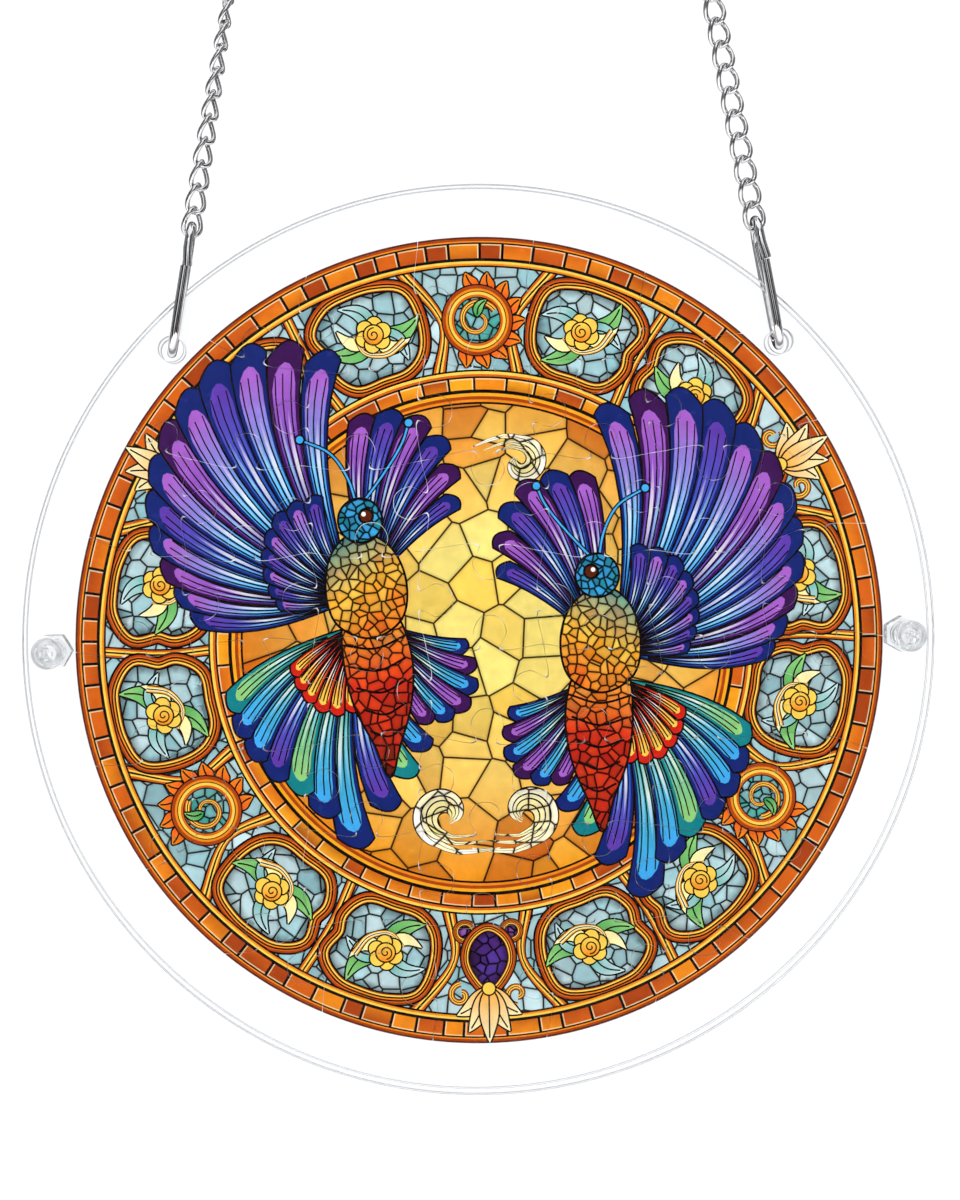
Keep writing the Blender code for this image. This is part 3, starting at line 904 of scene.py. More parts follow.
def body(pose):
    """Abdomen, thorax, head and feelers."""
    abdomen = flowing([(0.5, 5), (-5.6, -3), (-7.4, -13), (-5.6, -23), (-1.6, -32), (1.2, -38),
                       (3.2, -31), (6.4, -21), (7.0, -10), (5.6, -2)], closed=True)
    start, end = pose(np.array([(2, 4), (-2, -36)]))
    edged(pose, abdomen, BODY_LINE, fade(start, end, AMBER, SCARLET, RED),
          fade(start, end, GOLD, RED, UMBER), cell=2.5)
    for index in range(5):
        drop = -9 - 4.9 * index
        half = 7.0 - 0.75 * index
        band = ribbon(flowing([(-half, drop + 1.2), (0, drop - 0.6), (half, drop + 1.2)]),
                      BODY_LINE)
        lay(pose(band), LEAD)
    thorax = flowing([(0, 16), (-6.4, 12), (-8.8, 4), (-6.6, -4.0), (0.5, -7), (7.2, -3),
                      (8.4, 5), (5.4, 13)], closed=True)
    start, end = pose(np.array([(5, 15), (-4, -6)]))
    edged(pose, thorax, BODY_LINE, fade(start, end, SEA, AMBER, SCARLET),
          fade(start, end, TEAL, GOLD, ORANGE), cell=2.1)
    for side in (-1, 1):
        feeler = flowing([(-1, 21), (-4 + 4 * side, 28), (-5 + 8 * side, 34),
                          (-3 + 12 * side, 38)])
        lay(pose(ribbon(feeler, 1.0)), LEAD)
        lay(pose(ribbon(feeler, 0.42)), AZURE)
        lay(pose(disc(feeler[-1], 1.2, 16)), LEAD)
        lay(pose(disc(feeler[-1], 0.8, 16)), AZURE)
    edged(pose, disc((-1.2, 18.6), 4.6, 32), BODY_LINE, AZURE, SEA, cell=1.7)
    for radius, paint in ((1.8, LEAD), (1.25, UMBER), (0.5, WHITE)):
        shift = 0.45 if paint is WHITE else 0
        lay(pose(disc((-2.6 + shift, 19.4 + shift), radius, 20)), paint)


def butterfly(place, turn, size, mirror):
    """A butterfly seen from the side and a little from above."""

    def pose(points):
        """The drawing's points in their place on the picture."""
        return placed(points, place, turn, size, mirror)

    fan(pose, (-1, 4), (84, 140), (36, 38, 34, 26), (DUSK, NIGHT), 8)
    fan(pose, (-1, -4), (206, 262), (20, 25, 27, 24), (LAGOON, DUSK), -6)
    fan(pose, (3, -4), (-104, -8), (30, 36, 47, 38, 37, 35, 32), (LAGOON, MEADOW, NIGHT, LAGOON),
        -10)
    fan(pose, (3, -4), (-96, -16), (15, 18, 20, 19, 17), (EMBER,), -6)
    fan(pose, (3, 2), (-14, 84), (34, 39, 45, 50, 54, 57, 57, 52), (NIGHT, DAWN, DUSK, DAWN), 12)
    fan(pose, (3, 2), (-8, 74), (16, 19, 22, 24, 23), (DAWN, NIGHT), 8)
    body(pose)


butterfly((-25.0, 9.0), 8, 1.0, mirror=True)
butterfly((26.0, -4.0), -2, 1.0, mirror=False)
print(len(cut_outs), "cut-outs with the butterflies")

# %% [markdown]
# The solids give the jigsaw's cuts as straight runs between a few points. A laser cuts smooth
# curves, so each run between two meeting points is drawn again as a curve through the same
# points. A meeting point, where three or four tiles touch, stays a corner.

# %% Smooth tile outlines
MEETING_REACH = 0.6
BORDER_REACH = 0.4
ARC_DEGREES = 1.0
CUT_STEPS = 6
CUT_GROWTH = 0.12


def front_outline(node):
    """The corners of a tile's front face in order, in millimetres from the disc's middle."""
    shape = bmesh.new()
    shape.from_mesh(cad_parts[node].data)
    bmesh.ops.remove_doubles(shape, verts=shape.verts, dist=1e-6)
    flat = [edge for edge in shape.edges if len(edge.link_faces) == 2
            and all(face.normal.y < -0.99 for face in edge.link_faces)]
    bmesh.ops.dissolve_edges(shape, edges=flat, use_verts=False)
    front = min(shape.faces, key=lambda face: face.calc_center_median().y)
    points = [((vert.co.x - CENTRE.x) / MM, (vert.co.z - CENTRE.z) / MM) for vert in front.verts]
    shape.free()
    return np.array(points)


raw_outlines = {name: front_outline(name) for name in TILE_NODES}


def smooth_outline(name):
    """The tile's outline with flowing cuts and a round rim."""
    points = raw_outlines[name]
    rim = np.hypot(*points.T) > PICTURE - BORDER_REACH
    meets = np.zeros(len(points), int)
    for other in raw_outlines.values():
        gaps = np.hypot(*(points[:, None] - other[None]).transpose(2, 0, 1))
        meets += gaps.min(axis=1) < MEETING_REACH
    corner = rim | (meets >= 3)
    first = int(np.argmax(corner))
    points, corner, rim = (np.roll(values, -first, axis=0) for values in (points, corner, rim))
    made, run = [], [points[0]]
    for index in range(1, len(points) + 1):
        step = index % len(points)
        run.append(points[step])
        if corner[step]:
            if rim[step] and rim[index - 1]:
                start, end = (math.degrees(math.atan2(point[1], point[0]))
                              for point in (run[0], run[-1]))
                sweep_angle = (end - start + 180) % 360 - 180
                steps = max(1, round(abs(sweep_angle) / ARC_DEGREES))
                made += list(arc((0, 0), PICTURE, start, start + sweep_angle, steps)[:-1])
            else:
                made += list(flowing(run, steps=CUT_STEPS)[:-1])
            run = [points[step]]
    return np.array(made)


def narrowed_cuts(outline):
    """The outline grown a little towards its neighbours, but not beyond the picture's rim."""
    points = grown(outline, CUT_GROWTH)
    return points * np.minimum(1, PICTURE / np.hypot(*points.T))[:, None]


tile_outlines = {name: narrowed_cuts(smooth_outline(name)) for name in TILE_NODES}
print(sum(len(outline) for outline in tile_outlines.values()), "points around the tiles")

# %% [markdown]
# Now the drawing meets the jigsaw. One triangulation takes every line of both: the edges of
# the cut-outs and the cuts of the tiles. Each triangle then belongs to one tile, and to the
# cut-out that lies on top there. A loose grid of extra points lets the soft fades show.

# %% Triangulate the drawing
GRID_PITCH = 2.4
SNAP = 0.004


def lines_of(outlines):
    """All the points, and the lines between them, of closed outlines."""
    points, lines = [], []
    for outline in outlines:
        start = len(points)
        points += list(outline)
        lines += [(start + step, start + (step + 1) % len(outline))
                  for step in range(len(outline))]
    return points, lines


def loose_grid():
    """Points in staggered rows over the picture."""
    reach = int(PICTURE / GRID_PITCH) + 1
    points = [((column + 0.5 * (row % 2)) * GRID_PITCH, row * GRID_PITCH * 0.87)
              for row in range(-reach - 4, reach + 5) for column in range(-reach, reach + 1)]
    return [point for point in points if math.hypot(*point) < PICTURE - 0.5]


def inside(places, outline):
    """Which places lie inside a closed outline, by how often it winds around them."""
    start, end = outline, np.roll(outline, -1, axis=0)
    x, y = places[:, :1], places[:, 1:]
    side = (end[:, 0] - start[:, 0]) * (y - start[:, 1]) \
        - (x - start[:, 0]) * (end[:, 1] - start[:, 1])
    rising = (start[:, 1] <= y) & (end[:, 1] > y) & (side > 0)
    falling = (start[:, 1] > y) & (end[:, 1] <= y) & (side < 0)
    return rising.sum(axis=1) != falling.sum(axis=1)


def topmost(places, outlines):
    """For each place, the number of the last outline that it lies in, or -1."""
    top = np.full(len(places), -1)
    order = np.argsort(places[:, 0])
    across = places[order, 0]
    for number, outline in enumerate(outlines):
        low, high = outline.min(axis=0), outline.max(axis=0)
        near = order[np.searchsorted(across, low[0]):np.searchsorted(across, high[0])]
        near = near[(places[near, 1] > low[1]) & (places[near, 1] < high[1])]
        if len(near):
            top[near[inside(places[near], outline)]] = number
    return top


points, lines = lines_of([outline for outline, _, _, _ in cut_outs] + list(tile_outlines.values()))
points += loose_grid()
cut = delaunay_2d_cdt([Vector(point) for point in points], lines, [], 0, SNAP)
spots = np.array([tuple(point) for point in cut[0]])
triangles = np.array(cut[2])
middles = spots[triangles].mean(axis=1)
tile_of = topmost(middles, list(tile_outlines.values()))
glass_of = topmost(middles, [outline for outline, _, _, _ in cut_outs])
print(len(triangles), "triangles,", int((tile_of >= 0).sum()), "of them on tiles")

# %% [markdown]
# The print's material reads two colours and a cell size from the mesh. Where the cell size
# isn't zero, a Voronoi pattern breaks the patch into pieces of glass: each piece takes a
# random mix of the two colours, and the pattern's distance to its edges draws the lead lines
# and a soft shade beside them. A little noise keeps every piece from looking flat.

# %% Printed acrylic
LEAD_HALF_WIDTH = 0.19
SHADE_REACH = 0.9
PRINT_LEVEL = 1.0


def printed_acrylic():
    """Glossy print with glass cells."""
    material, shader, fill, add = new_material("printed_acrylic", {"Specular IOR Level": 0.15})

    def sum_of(operation, first, second):
        """The result of a sum on two values."""
        return add("Math", {0: first, 1: second}, operation=operation).outputs[0]

    def mixed(share, first, second, blend_type="MIX"):
        """Two colours mixed."""
        return add("MixRGB", {"Fac": share, "Color1": first, "Color2": second},
                   blend_type=blend_type).outputs[0]

    def voronoi(feature, output):
        """One output of the pattern of glass cells."""
        return add("TexVoronoi", {"Vector": drawing, "Scale": 1.0}, voronoi_dimensions="2D",
                   feature=feature).outputs[output]

    paint = add("Attribute", attribute_name="paint").outputs["Color"]
    other = add("Attribute", attribute_name="other_paint").outputs["Color"]
    cell = add("Attribute", attribute_name="cell").outputs["Fac"]
    parts = add("SeparateXYZ", {0: add("TexCoord").outputs["Object"]})
    width = sum_of("MAXIMUM", cell, 0.05)
    x, z = (sum_of("DIVIDE", sum_of("MULTIPLY", parts.outputs[axis], 1 / MM), width)
            for axis in ("X", "Z"))
    drawing = add("CombineXYZ", {"X": x, "Y": z}).outputs[0]
    away = sum_of("MULTIPLY", voronoi("DISTANCE_TO_EDGE", "Distance"), width)
    dice = add("SeparateColor", {0: voronoi("F1", "Color")})
    broken = sum_of("GREATER_THAN", cell, 0.1)
    glass = mixed(sum_of("MULTIPLY", dice.outputs["Red"], broken), paint, other)
    light = ranged(add, dice.outputs["Green"], 0.80, 1.12)
    shade = ranged(add, away, 0.80, 1.0, start=LEAD_HALF_WIDTH, end=SHADE_REACH)
    level = mixed(broken, (1, 1, 1, 1), sum_of("MULTIPLY", light, shade))
    lit = mixed(1.0, glass, level, "MULTIPLY")
    cloud = noise(add, 420.0, 4.0)
    wash = ranged(add, cloud, 0.90 * PRINT_LEVEL, 1.06 * PRINT_LEVEL, start=0.3, end=0.7)
    washed = mixed(1.0, lit, wash, "MULTIPLY")
    line = ranged(add, away, 1.0, 0.0, start=0.7 * LEAD_HALF_WIDTH, end=1.5 * LEAD_HALF_WIDTH)
    on_line = sum_of("MULTIPLY", line, broken)
    dark = mixed(1.0, glass, (0.035, 0.02, 0.015, 1), "MULTIPLY")
    fill(shader, {"Base Color": mixed(on_line, washed, dark),
                  "Roughness": ranged(add, cloud, 0.18, 0.32),
                  "Normal": bumped(add, on_line, 0.15, 0.00005)})
    return material


def tile_edge():
    """The cut sides of a tile, where its bare pale acrylic shows."""
    material, shader, fill, add = new_material("tile_edge", {"Roughness": 0.35})
    tone = two_tones(add, noise(add, 900.0, 3.0), (0.62, 0.58, 0.52), (0.86, 0.84, 0.80))
    fill(shader, {"Base Color": tone})
    return material


PRINT = printed_acrylic()
EDGE = tile_edge()

# %% [markdown]
# Each tile becomes a closed piece: the printed front, the same print on the back, and the cut
# sides between them. The colours are stored for each corner of each triangle, so two patches
# that share an edge keep their own colours up to it, and the line between them stays crisp.

# %% Tiles
FRONT = -TILE_THICKNESS / 2
BACK = TILE_THICKNESS / 2


def colours_of(numbers, corners, which):
    """The colour of each triangle corner, from its cut-out's paint."""
    made = np.empty((len(numbers), 3, 4))
    made[..., 3] = 1
    known = {}
    for row, (number, corner) in enumerate(zip(numbers, corners)):
        paint = cut_outs[number][which]
        for column, spot in enumerate(corner):
            if not callable(paint):
                made[row, column, :3] = paint
                continue
            if (number, spot) not in known:
                known[number, spot] = paint(spots[spot])
            made[row, column, :3] = known[number, spot]
    return made


def picture_tile(number, node):
    """One tile of the jigsaw with its share of the picture."""
    mine = tile_of == number
    corners = triangles[mine]
    used, local = np.unique(corners, return_inverse=True)
    local = local.reshape(-1, 3)
    flat = spots[used] * MM
    count = len(used)
    verts = [(CENTRE.x + x, y, CENTRE.z + z) for y in (FRONT, BACK) for x, z in flat]
    a, b, c = flat[local[:, 0]], flat[local[:, 1]], flat[local[:, 2]]
    area = (b[:, 0] - a[:, 0]) * (c[:, 1] - a[:, 1]) - (c[:, 0] - a[:, 0]) * (b[:, 1] - a[:, 1])
    facing = np.where((area > 0)[:, None], local, local[:, ::-1])
    corners = np.where((area > 0)[:, None], corners, corners[:, ::-1])
    directed = {(int(row[i]), int(row[(i + 1) % 3])) for row in facing for i in range(3)}
    rim = [(start, end) for start, end in directed if (end, start) not in directed]
    walls = [(end, start, start + count, end + count) for start, end in sorted(rim)]
    faces = [tuple(map(int, row)) for row in facing]
    faces += [tuple(int(corner) + count for corner in row[::-1]) for row in facing]
    mesh = bpy.data.meshes.new(f"picture_tile_{number + 1:02d}")
    mesh.from_pydata(verts, [], faces + walls)
    numbers = glass_of[mine]
    for which, name in ((1, "paint"), (2, "other_paint")):
        made = colours_of(numbers, corners, which)
        spread = np.ones((len(mesh.loops), 4))
        spread[:3 * len(numbers)] = made.reshape(-1, 4)
        spread[3 * len(numbers):6 * len(numbers)] = made[:, ::-1].reshape(-1, 4)
        layer = mesh.color_attributes.new(name, "FLOAT_COLOR", "CORNER")
        layer.data.foreach_set("color", spread.ravel())
    widths = np.zeros(len(mesh.loops))
    widths[:6 * len(numbers)] = np.tile(np.repeat([cut_outs[k][3] for k in numbers], 3), 2)
    layer = mesh.attributes.new("cell", "FLOAT", "CORNER")
    layer.data.foreach_set("value", widths)
    mesh.polygons.foreach_set("material_index", [0] * (2 * len(numbers)) + [1] * len(walls))
    return finished(mesh.name, mesh, [PRINT, EDGE], node, sharp=30)


faces_made = 0
for number, node in enumerate(TILE_NODES):
    tile = picture_tile(number, node)
    faces_made += len(tile.data.polygons)
print(len(TILE_NODES), "tiles,", faces_made, "faces")

# %% [markdown]
# The screws are clear moulded nylon: softer than acrylic, a touch milky, and never perfectly
# smooth. Some of the light scatters inside, so the material is rougher and lets less through.

# %% Clear nylon


def clear_nylon():
    """Milky clear plastic for the screws and nuts."""
    material, shader, fill, add = new_material("clear_nylon", {
        "Base Color": (0.93, 0.94, 0.95, 1), "Transmission Weight": 0.92, "IOR": 1.5})
    flow = noise(add, 700.0, 3.0)
    fill(shader, {"Roughness": ranged(add, flow, 0.04, 0.14),
                  "Normal": bumped(add, flow, 0.2, 0.0001)})
    let_lamps_through(material, shader, fill, add, (0.85, 0.86, 0.87))
    return material


NYLON = clear_nylon()

# %% [markdown]
# The head of a pan-head screw is a low dome with a cross recess. The dome is turned from a
# profile, and a small cross is cut into it with a Boolean. The shank is a real thread: a sleeve
# of rings whose radius rises and falls along a helix, so one formula makes every turn.

# %% Screws
THREAD_PITCH = 0.0007
THREAD_DEPTH = 0.00035
THREAD_STEPS = 8
HEAD_STEPS = 64
DOME_STEPS = 12
DOME_SHARE = 0.72
DOME_FULLNESS = 0.8
RECESS_REACH = 0.52
RECESS_WIDTH = 0.13
RECESS_DEPTH = 0.5
Screw = namedtuple("Screw", "face under tip head shank")


def screw_sizes(node):
    """Head face, underside and tip along Y, and the radius of head and shank."""
    points = corners_of(node)
    middle = middle_of(node)
    reach = np.hypot(points[:, 0] - middle.x, points[:, 2] - middle.z)
    face, tip = points[:, 1].min(), points[:, 1].max()
    head = float(reach.max())
    under = points[reach > 0.98 * head][:, 1].max()
    shank = float(reach[points[:, 1] > 0].max())
    return Screw(face, under, tip, head, shank)


def screw_head(sizes):
    """The dome with its underside, closed."""
    rise = DOME_SHARE * (sizes.under - sizes.face)
    profile = []
    for step in range(DOME_STEPS + 1):
        turn = step / DOME_STEPS * math.pi / 2
        profile.append((sizes.head * math.sin(turn) ** DOME_FULLNESS,
                        sizes.face + rise * (1 - math.cos(turn))))
    profile += [(sizes.head, sizes.under - EDGE_BREAK), (sizes.head - EDGE_BREAK, sizes.under)]
    return lathe(lambda station, angle: profile[station], range(1, len(profile)), HEAD_STEPS,
                 True, True)


def cross_cutter(sizes):
    """Two crossed bars with sloping ends, which leave the recess when cut away."""
    long, wide = RECESS_REACH * sizes.head, RECESS_WIDTH * sizes.head
    deep = RECESS_DEPTH * (sizes.under - sizes.face)
    points, faces = [], []
    for turn in (0, 1):
        start = len(points)
        for y, reach in ((sizes.face - deep, long * 1.15), (sizes.face + deep, long * 0.55)):
            for x, z in ((-reach, -wide), (reach, -wide), (reach, wide), (-reach, wide)):
                points.append((x, y, z) if turn == 0 else (z, y, -x))
        faces += [tuple(start + corner for corner in face_corners) for face_corners in (
            (0, 1, 2, 3), (4, 5, 6, 7), (0, 1, 5, 4), (1, 2, 6, 5), (2, 3, 7, 6), (3, 0, 4, 7))]
    return mesh_from(points, faces)


def boolean(mesh, other, operation):
    """One mesh cut or joined with another."""
    first = bpy.data.objects.new("first", mesh)
    second = bpy.data.objects.new("second", other)
    for thing in (first, second):
        bpy.context.scene.collection.objects.link(thing)
    modifier = first.modifiers.new("cut", "BOOLEAN")
    modifier.operation = operation
    modifier.object = second
    modifier.use_self = True
    bpy.context.view_layer.update()
    made = bpy.data.meshes.new_from_object(
        first.evaluated_get(bpy.context.evaluated_depsgraph_get()))
    for thing in (first, second):
        bpy.data.objects.remove(thing)
    return made


def threaded_shank(sizes):
    """The shank, whose surface follows a helix, with a plain stretch under the head."""
    start = sizes.under - 2 * EDGE_BREAK
    length = sizes.tip - start
    rings = int(length / THREAD_PITCH * THREAD_STEPS)

    def radius_at(station, angle):
        y = start + length * station / rings
        turns = y / THREAD_PITCH - angle / (2 * math.pi)
        rise = abs(2 * (turns % 1) - 1)
        ends = min(1, (y - start) / THREAD_PITCH, max(0, sizes.tip - y) / THREAD_PITCH)
        return sizes.shank - THREAD_DEPTH * (1 - rise * ends), y

    return lathe(radius_at, range(rings + 1), HEAD_STEPS, True, True)


def around_middle(mesh, node):
    """A mesh made around the Y axis, moved to a node's middle."""
    middle = middle_of(node)
    mesh.transform(Matrix.Translation((middle.x, 0, middle.z)))
    return mesh


for side in SIDES:
    node = "screw_" + side
    sizes = screw_sizes(node)
    head = boolean(screw_head(sizes), cross_cutter(sizes), "DIFFERENCE")
    mesh = around_middle(boolean(head, threaded_shank(sizes), "UNION"), node)
    screw = finished(f"pan_head_screw_{side}", mesh, [NYLON], node, sharp=30)
    print(screw.name, f"{2000 * sizes.head:.1f} mm head,", len(mesh.polygons), "faces")

# %% [markdown]
# A hexagon nut has its corners turned off on both faces, which leaves the curved edges that
# every nut shows. Here each point of a polar grid knows its radius, and what lies outside the
# chamfer circle is lowered along a cone. The bore has a small countersink.

# %% Nuts
NUT_CHAMFER = math.tan(math.radians(28))
NUT_FACE = 0.97
NUT_SINK = 0.0003
NUT_STEPS = 96
NUT_TURNS = {"left": 0.0, "right": math.radians(-30)}


def nut_mesh(node, turn):
    """A chamfered hexagon nut around the Y axis."""
    low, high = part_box(node)
    across = 2 * min(middle_of(node).x - low[0], middle_of(node).z - low[2])
    bore = HOLES[1][1]
    flat = across / 2
    front, back = low[1], high[1]

    def radius_at(station, angle):
        sector = (angle - turn) % (math.pi / 3) - math.pi / 6
        edge = flat / math.cos(sector)
        face = NUT_FACE * flat
        drop = (edge - face) * NUT_CHAMFER
        table = ((bore, front + NUT_SINK), (bore + NUT_SINK, front), (face, front),
                 (edge, front + drop), (edge, back - drop), (face, back),
                 (bore + NUT_SINK, back), (bore, back - NUT_SINK), (bore, front + NUT_SINK))
        return table[station]

    return lathe(radius_at, range(9), NUT_STEPS)


for side, turn in NUT_TURNS.items():
    node = "nut_" + side
    mesh = around_middle(nut_mesh(node, turn), node)
    nut = finished(f"hexagon_nut_{side}", mesh, [NYLON], node, sharp=20)
    print(nut.name, len(mesh.polygons), "faces")

# %% [markdown]
# Links, chains and rings are steel wire with a bright plating. Plated wire is never a perfect
# mirror: handling dulls it in patches. One noise varies both its tone and its roughness. The
# surface itself stays smooth, because clean dark streaks are what makes wire look polished.

# %% Plated steel


def plated_steel():
    """Bright plated wire."""
    material, shader, fill, add = new_material("plated_steel", {"Metallic": 1.0})
    patches = noise(add, 300.0, 5.0)
    fill(shader, {"Base Color": two_tones(add, patches, (0.70, 0.70, 0.71), (0.88, 0.88, 0.89),
                                          start=0.3, end=0.7),
                  "Roughness": ranged(add, patches, 0.03, 0.07)})
    return material


STEEL = plated_steel()

# %% [markdown]
# The two chains lean towards each other, so what hangs on them is easiest to describe along
# the lean. A hanger is the middle of a plate's hole with a direction. The solids are measured
# in it: how far along it each one reaches gives the heights of links and rings.

# %% Hangers
CHAIN_LEAN = math.radians(10.4)
LINK_YAW = math.radians(6)


def hanger(side):
    """The middle of the hole, and the unit vectors across, to the back and along the chain."""
    sign = SIDES[side]
    place = next(place for place, _ in HOLES
                 if place[0] * sign > 0 and place[1] > HIGH_SHARE * PLATE_RADIUS)
    origin = Vector((place[0], 0, CENTRE.z + place[1]))
    along = Vector((-sign * math.sin(CHAIN_LEAN), 0, math.cos(CHAIN_LEAN)))
    across = Vector((math.cos(CHAIN_LEAN), 0, sign * math.sin(CHAIN_LEAN)))
    return origin, across, Vector((0, 1, 0)), along


def in_hanger(side, node):
    """A solid's vertices as distances across, back and along its hanger."""
    origin, across, back, along = hanger(side)
    axes = np.array([across, back, along]).T
    return (corners_of(node) - np.array(origin)) @ axes


def from_hanger(side, point, turn=0.0):
    """A point of the hanger, turned about the chain's line, placed in the world."""
    origin, across, back, along = hanger(side)
    x, y, z = point
    return (origin + (x * math.cos(turn) - y * math.sin(turn)) * across
            + (x * math.sin(turn) + y * math.cos(turn)) * back + z * along)


for side in SIDES:
    reach = in_hanger(side, "chain_" + side)[:, 2]
    print(f"{side} chain from {1000 * reach.min():.1f} to {1000 * reach.max():.1f} mm along")

# %% [markdown]
# The oval links are one bent wire each. The wire goes down behind the disc, through the hole,
# and up in front, and its two ends meet in a seam a third of the way down the front leg. A real
# seam is never perfect, so the upper end is bent aside by a fraction of a millimetre.

# %% Oval links
LINK_WIRE = 0.002
WIRE_STEPS = 24
BEND_STEPS = 24
SEAM_SHARE = 0.33
SEAM_GAP = 0.0003
SEAM_OFFSET = 0.00045


def oval_link(side):
    """The link's path, measured from its solid."""
    points = in_hanger(side, "hanging_link_" + side)
    turn = -SIDES[side] * LINK_YAW
    depth = points[:, 1] * math.cos(turn) - points[:, 0] * math.sin(turn)
    radius = float(depth.max() - depth.min()) / 2 - LINK_WIRE / 2
    low = float(points[:, 2].min()) + LINK_WIRE / 2
    high = float(points[:, 2].max()) - LINK_WIRE / 2
    seam = high - SEAM_SHARE * (high - low)
    path = [(0, -radius, seam - SEAM_GAP / 2), (0, -radius, (seam + low + radius) / 2)]
    for step in range(BEND_STEPS + 1):
        angle = math.pi * step / BEND_STEPS
        path.append((0, -radius * math.cos(angle), low + radius - radius * math.sin(angle)))
    path.append((0, radius, (low + high) / 2))
    for step in range(BEND_STEPS + 1):
        angle = math.pi * step / BEND_STEPS
        path.append((0, radius * math.cos(angle), high - radius + radius * math.sin(angle)))
    path.append((SEAM_OFFSET, -radius, seam + SEAM_GAP / 2))
    return [from_hanger(side, point, turn) for point in path]


for side in SIDES:
    mesh = wire(oval_link(side), LINK_WIRE, WIRE_STEPS, closed=False)
    link = finished(f"oval_link_{side}", mesh, [STEEL], "hanging_link_" + side)
    print(link.name, f"{1000 * size_of('hanging_link_' + side).z:.1f} mm tall")

# %% [markdown]
# In a curb chain each link is twisted, so that the links lie flat against each other. A link
# starts as a long loop, and its two ends are then turned opposite ways about the chain's line.
# Every link is a piece of its own, a little smaller than in the solid, where they are fused.

# %% Chains
CHAIN_LINKS = 11
CHAIN_WIRE = 0.00105
CHAIN_LINK_LENGTH = 0.0071
CHAIN_LINK_WIDTH = 0.0051
CHAIN_TWIST = math.radians(40)
LOOP_FULLNESS = 0.8
LINK_STEPS = 56
LINK_EASE = 0.00005
CHAIN_TURNS = {"left": (math.radians(40), math.radians(5.5)),
               "right": (math.radians(2), math.radians(1))}


def curb_link(side, height, face_angle):
    """One twisted link, as points in the world."""
    half_length = (CHAIN_LINK_LENGTH - CHAIN_WIRE) / 2 - LINK_EASE
    half_width = (CHAIN_LINK_WIDTH - CHAIN_WIRE) / 2
    path = []
    for step in range(LINK_STEPS):
        angle = math.pi / 2 + 2 * math.pi * step / LINK_STEPS
        across, up = math.cos(angle), math.sin(angle)
        x = half_width * math.copysign(abs(across) ** LOOP_FULLNESS, across)
        z = half_length * math.copysign(abs(up) ** LOOP_FULLNESS, up)
        twist = face_angle + CHAIN_TWIST * z / half_length
        path.append(from_hanger(side, (x, 0, height + z), twist))
    return path


for side in SIDES:
    reach = in_hanger(side, "chain_" + side)[:, 2]
    first = float(reach.min()) + CHAIN_LINK_LENGTH / 2
    pitch = (float(reach.max()) - CHAIN_LINK_LENGTH / 2 - first) / (CHAIN_LINKS - 1)
    face_angle, turn = CHAIN_TURNS[side]
    for index in range(CHAIN_LINKS):
        path = curb_link(side, first + index * pitch, face_angle + index * turn)
        finished(f"curb_link_{side}_{index + 1:02d}", wire(path, CHAIN_WIRE, 14, closed=True),
                 [STEEL], "chain_" + side, sharp=60)
    print(f"{side} chain: {CHAIN_LINKS} links, {1000 * pitch:.2f} mm apart")

# %% [markdown]
# The photograph ends before the chains do. Each one runs out just above the view into a plain
# split ring, which goes over a hook. The ring is bent from thicker wire and has its own seam.

# %% Top rings
RING_WIRE = 0.0015
RING_STEPS = 64
RING_SEAM = 0.0003
RING_TURNS = {"left": math.radians(10), "right": math.radians(-30)}

for side in SIDES:
    reach = in_hanger(side, "top_ring_" + side)[:, 2]
    radius = float(reach.max() - reach.min()) / 2 - RING_WIRE / 2
    height = float(reach.max() + reach.min()) / 2
    opening = RING_SEAM / radius
    path = []
    for step in range(RING_STEPS + 1):
        angle = opening / 2 + step / RING_STEPS * (2 * math.pi - opening)
        path.append(from_hanger(side, (radius * math.cos(angle), 0,
                                       height + radius * math.sin(angle)), RING_TURNS[side]))
    ring = finished(f"split_ring_{side}", wire(path, RING_WIRE, 20, closed=False), [STEEL],
                    "top_ring_" + side)
    print(ring.name, f"{2000 * radius + 1000 * RING_WIRE:.1f} mm across")

# %% [markdown]
# The stage is a plain white paper floor that sweeps up into a round wall, so that no horizon
# shows from any side. The disc hangs well above it, so the floor takes no hard shadow. Clear
# acrylic is drawn by what stands around it, so a plain pale room leaves only its edges to be
# seen, as in the photograph.

# %% Stage
ROOM_RADIUS = 2.2
ROOM_HEIGHT = 2.4
SWEEP_RADIUS = 0.8
SWEEP_STEPS = 16
WALL_STEPS = 96
FLOOR_GAP = 0.35


def paper():
    """Matt white studio paper."""
    return new_material("studio_paper", {"Base Color": (0.93, 0.93, 0.935, 1),
                                         "Roughness": 0.6})[0]


def sweep():
    """A floor that curves up into a round wall."""
    profile = [(share * ROOM_RADIUS, 0.0) for share in (0.01, 0.1, 0.3)]
    for step in range(SWEEP_STEPS + 1):
        turn = step / SWEEP_STEPS * math.pi / 2
        profile.append((ROOM_RADIUS - SWEEP_RADIUS + SWEEP_RADIUS * math.sin(turn),
                        SWEEP_RADIUS * (1 - math.cos(turn))))
    profile.append((ROOM_RADIUS, ROOM_HEIGHT))
    points = []
    for radius, height in profile:
        for step in range(WALL_STEPS):
            angle = 2 * math.pi * step / WALL_STEPS
            points.append((radius * math.cos(angle), radius * math.sin(angle), height))
    mesh = mesh_from(points, sleeve_faces(len(profile), WALL_STEPS, True, False))
    mesh.name = "studio_sweep"
    mesh.materials.append(paper())
    mesh.shade_smooth()
    floor = bpy.data.objects.new("studio_sweep", mesh)
    floor.location.z = cad_box[0][2] - FLOOR_GAP
    bpy.context.scene.collection.objects.link(floor)
    return floor


sweep()

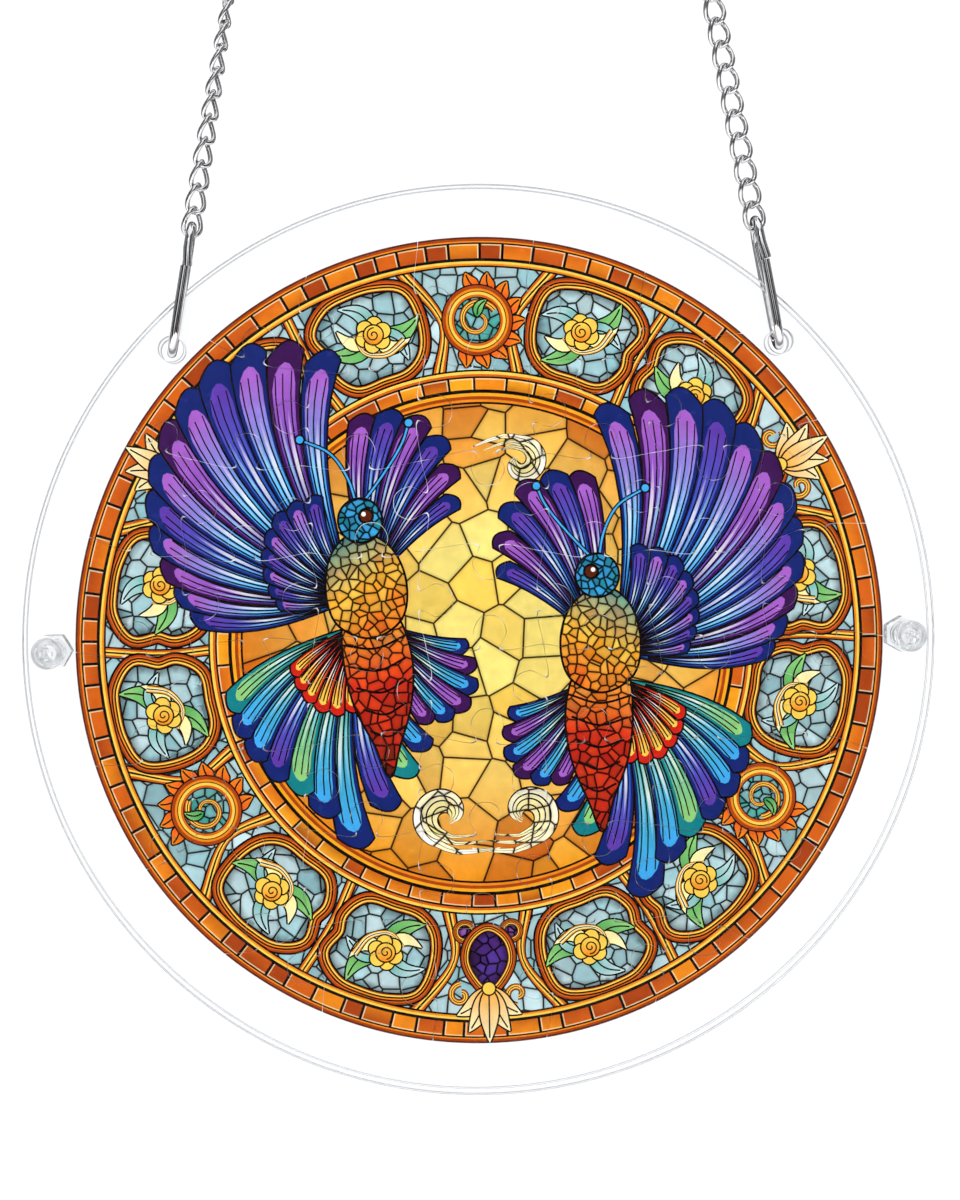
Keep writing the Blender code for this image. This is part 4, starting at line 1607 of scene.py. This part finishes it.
# %% [markdown]
# Polished steel shows nothing but its surroundings, and in an all-white room it would vanish.
# Photographers stand black cards around it, which draw dark streaks along the wire. The plates
# mirror the room too, which lays a pale veil over the picture's dark glass. A round card behind
# the camera takes it away: it is just so large that the picture mirrors it and the clear margin
# doesn't. No card is seen directly, and none casts a shade.

# %% Black cards
CARD_DISTANCE = 0.8
CARD_WIDTHS = {90: 0.7, -138: 0.7, -42: 0.7, 40: 0.5, 140: 0.5, 0: 0.4, 180: 0.4}
CARD_HEIGHT = 1.6
CARD_RISE = 0.6
ROUND_CARD_DISTANCE = 0.6


def black_card(outline):
    """A flat card that only reflections see. The outline gives its corners across and up."""
    mesh = bpy.data.meshes.new("black_card")
    mesh.from_pydata([(x, 0, z) for x, z in outline], [], [tuple(range(len(outline)))])
    mesh.materials.append(new_material("black_card", {
        "Base Color": (0.02, 0.02, 0.022, 1), "Roughness": 0.9})[0])
    card = bpy.data.objects.new("black_card", mesh)
    card.visible_camera = False
    card.visible_diffuse = False
    card.visible_transmission = False
    card.visible_shadow = False
    bpy.context.scene.collection.objects.link(card)
    return card


for turn, width in CARD_WIDTHS.items():
    x, z = width / 2, CARD_HEIGHT / 2
    card = black_card([(-x, -z), (x, -z), (x, z), (-x, z)])
    angle = math.radians(turn)
    card.location = CENTRE + CARD_DISTANCE * Vector((math.cos(angle), math.sin(angle), CARD_RISE))
    card.rotation_euler = (0, 0, angle + math.pi / 2)

# Light that the plates mirror inside leaves them as transmitted light, so this card shows to it
share = ROUND_CARD_DISTANCE / (CENTRE - CAMERA_PLACE).y
radius = PICTURE_RADIUS * (1 + share)
card = black_card(disc((0, 0), radius, 64))
card.location = CENTRE + share * (CENTRE - CAMERA_PLACE)
card.location.y = -ROUND_CARD_DISTANCE
card.visible_transmission = True
print(len(CARD_WIDTHS), f"upright cards, and a round one {2 * radius:.2f} m across")

# %% [markdown]
# Two large soft boxes stand to the left and right of the camera, and the open top of the room
# adds even light from above.

# %% Lights
SKY_STRENGTH = 1.12
scene = bpy.context.scene
scene.view_settings.view_transform = "Standard"
world = bpy.data.worlds.new("studio_world")
world.use_nodes = True
world.node_tree.nodes["Background"].inputs["Color"].default_value = (1, 1, 1, 1)
world.node_tree.nodes["Background"].inputs["Strength"].default_value = SKY_STRENGTH
scene.world = world


def soft_light(name, place, aim, size, watts):
    """A square soft box."""
    data = bpy.data.lights.new(name, "AREA")
    data.shape = "RECTANGLE"
    data.size, data.size_y = size
    data.energy = watts
    light = bpy.data.objects.new(name, data)
    light.location = place
    light.rotation_euler = (Vector(aim) - Vector(place)).to_track_quat("-Z", "Y").to_euler()
    scene.collection.objects.link(light)
    return light


soft_light("key_light", (-0.9, -1.2, 0.9), CENTRE, (0.8, 0.8), 12)
soft_light("fill_light", (1.2, -1.0, 0.3), CENTRE, (0.8, 0.8), 6)
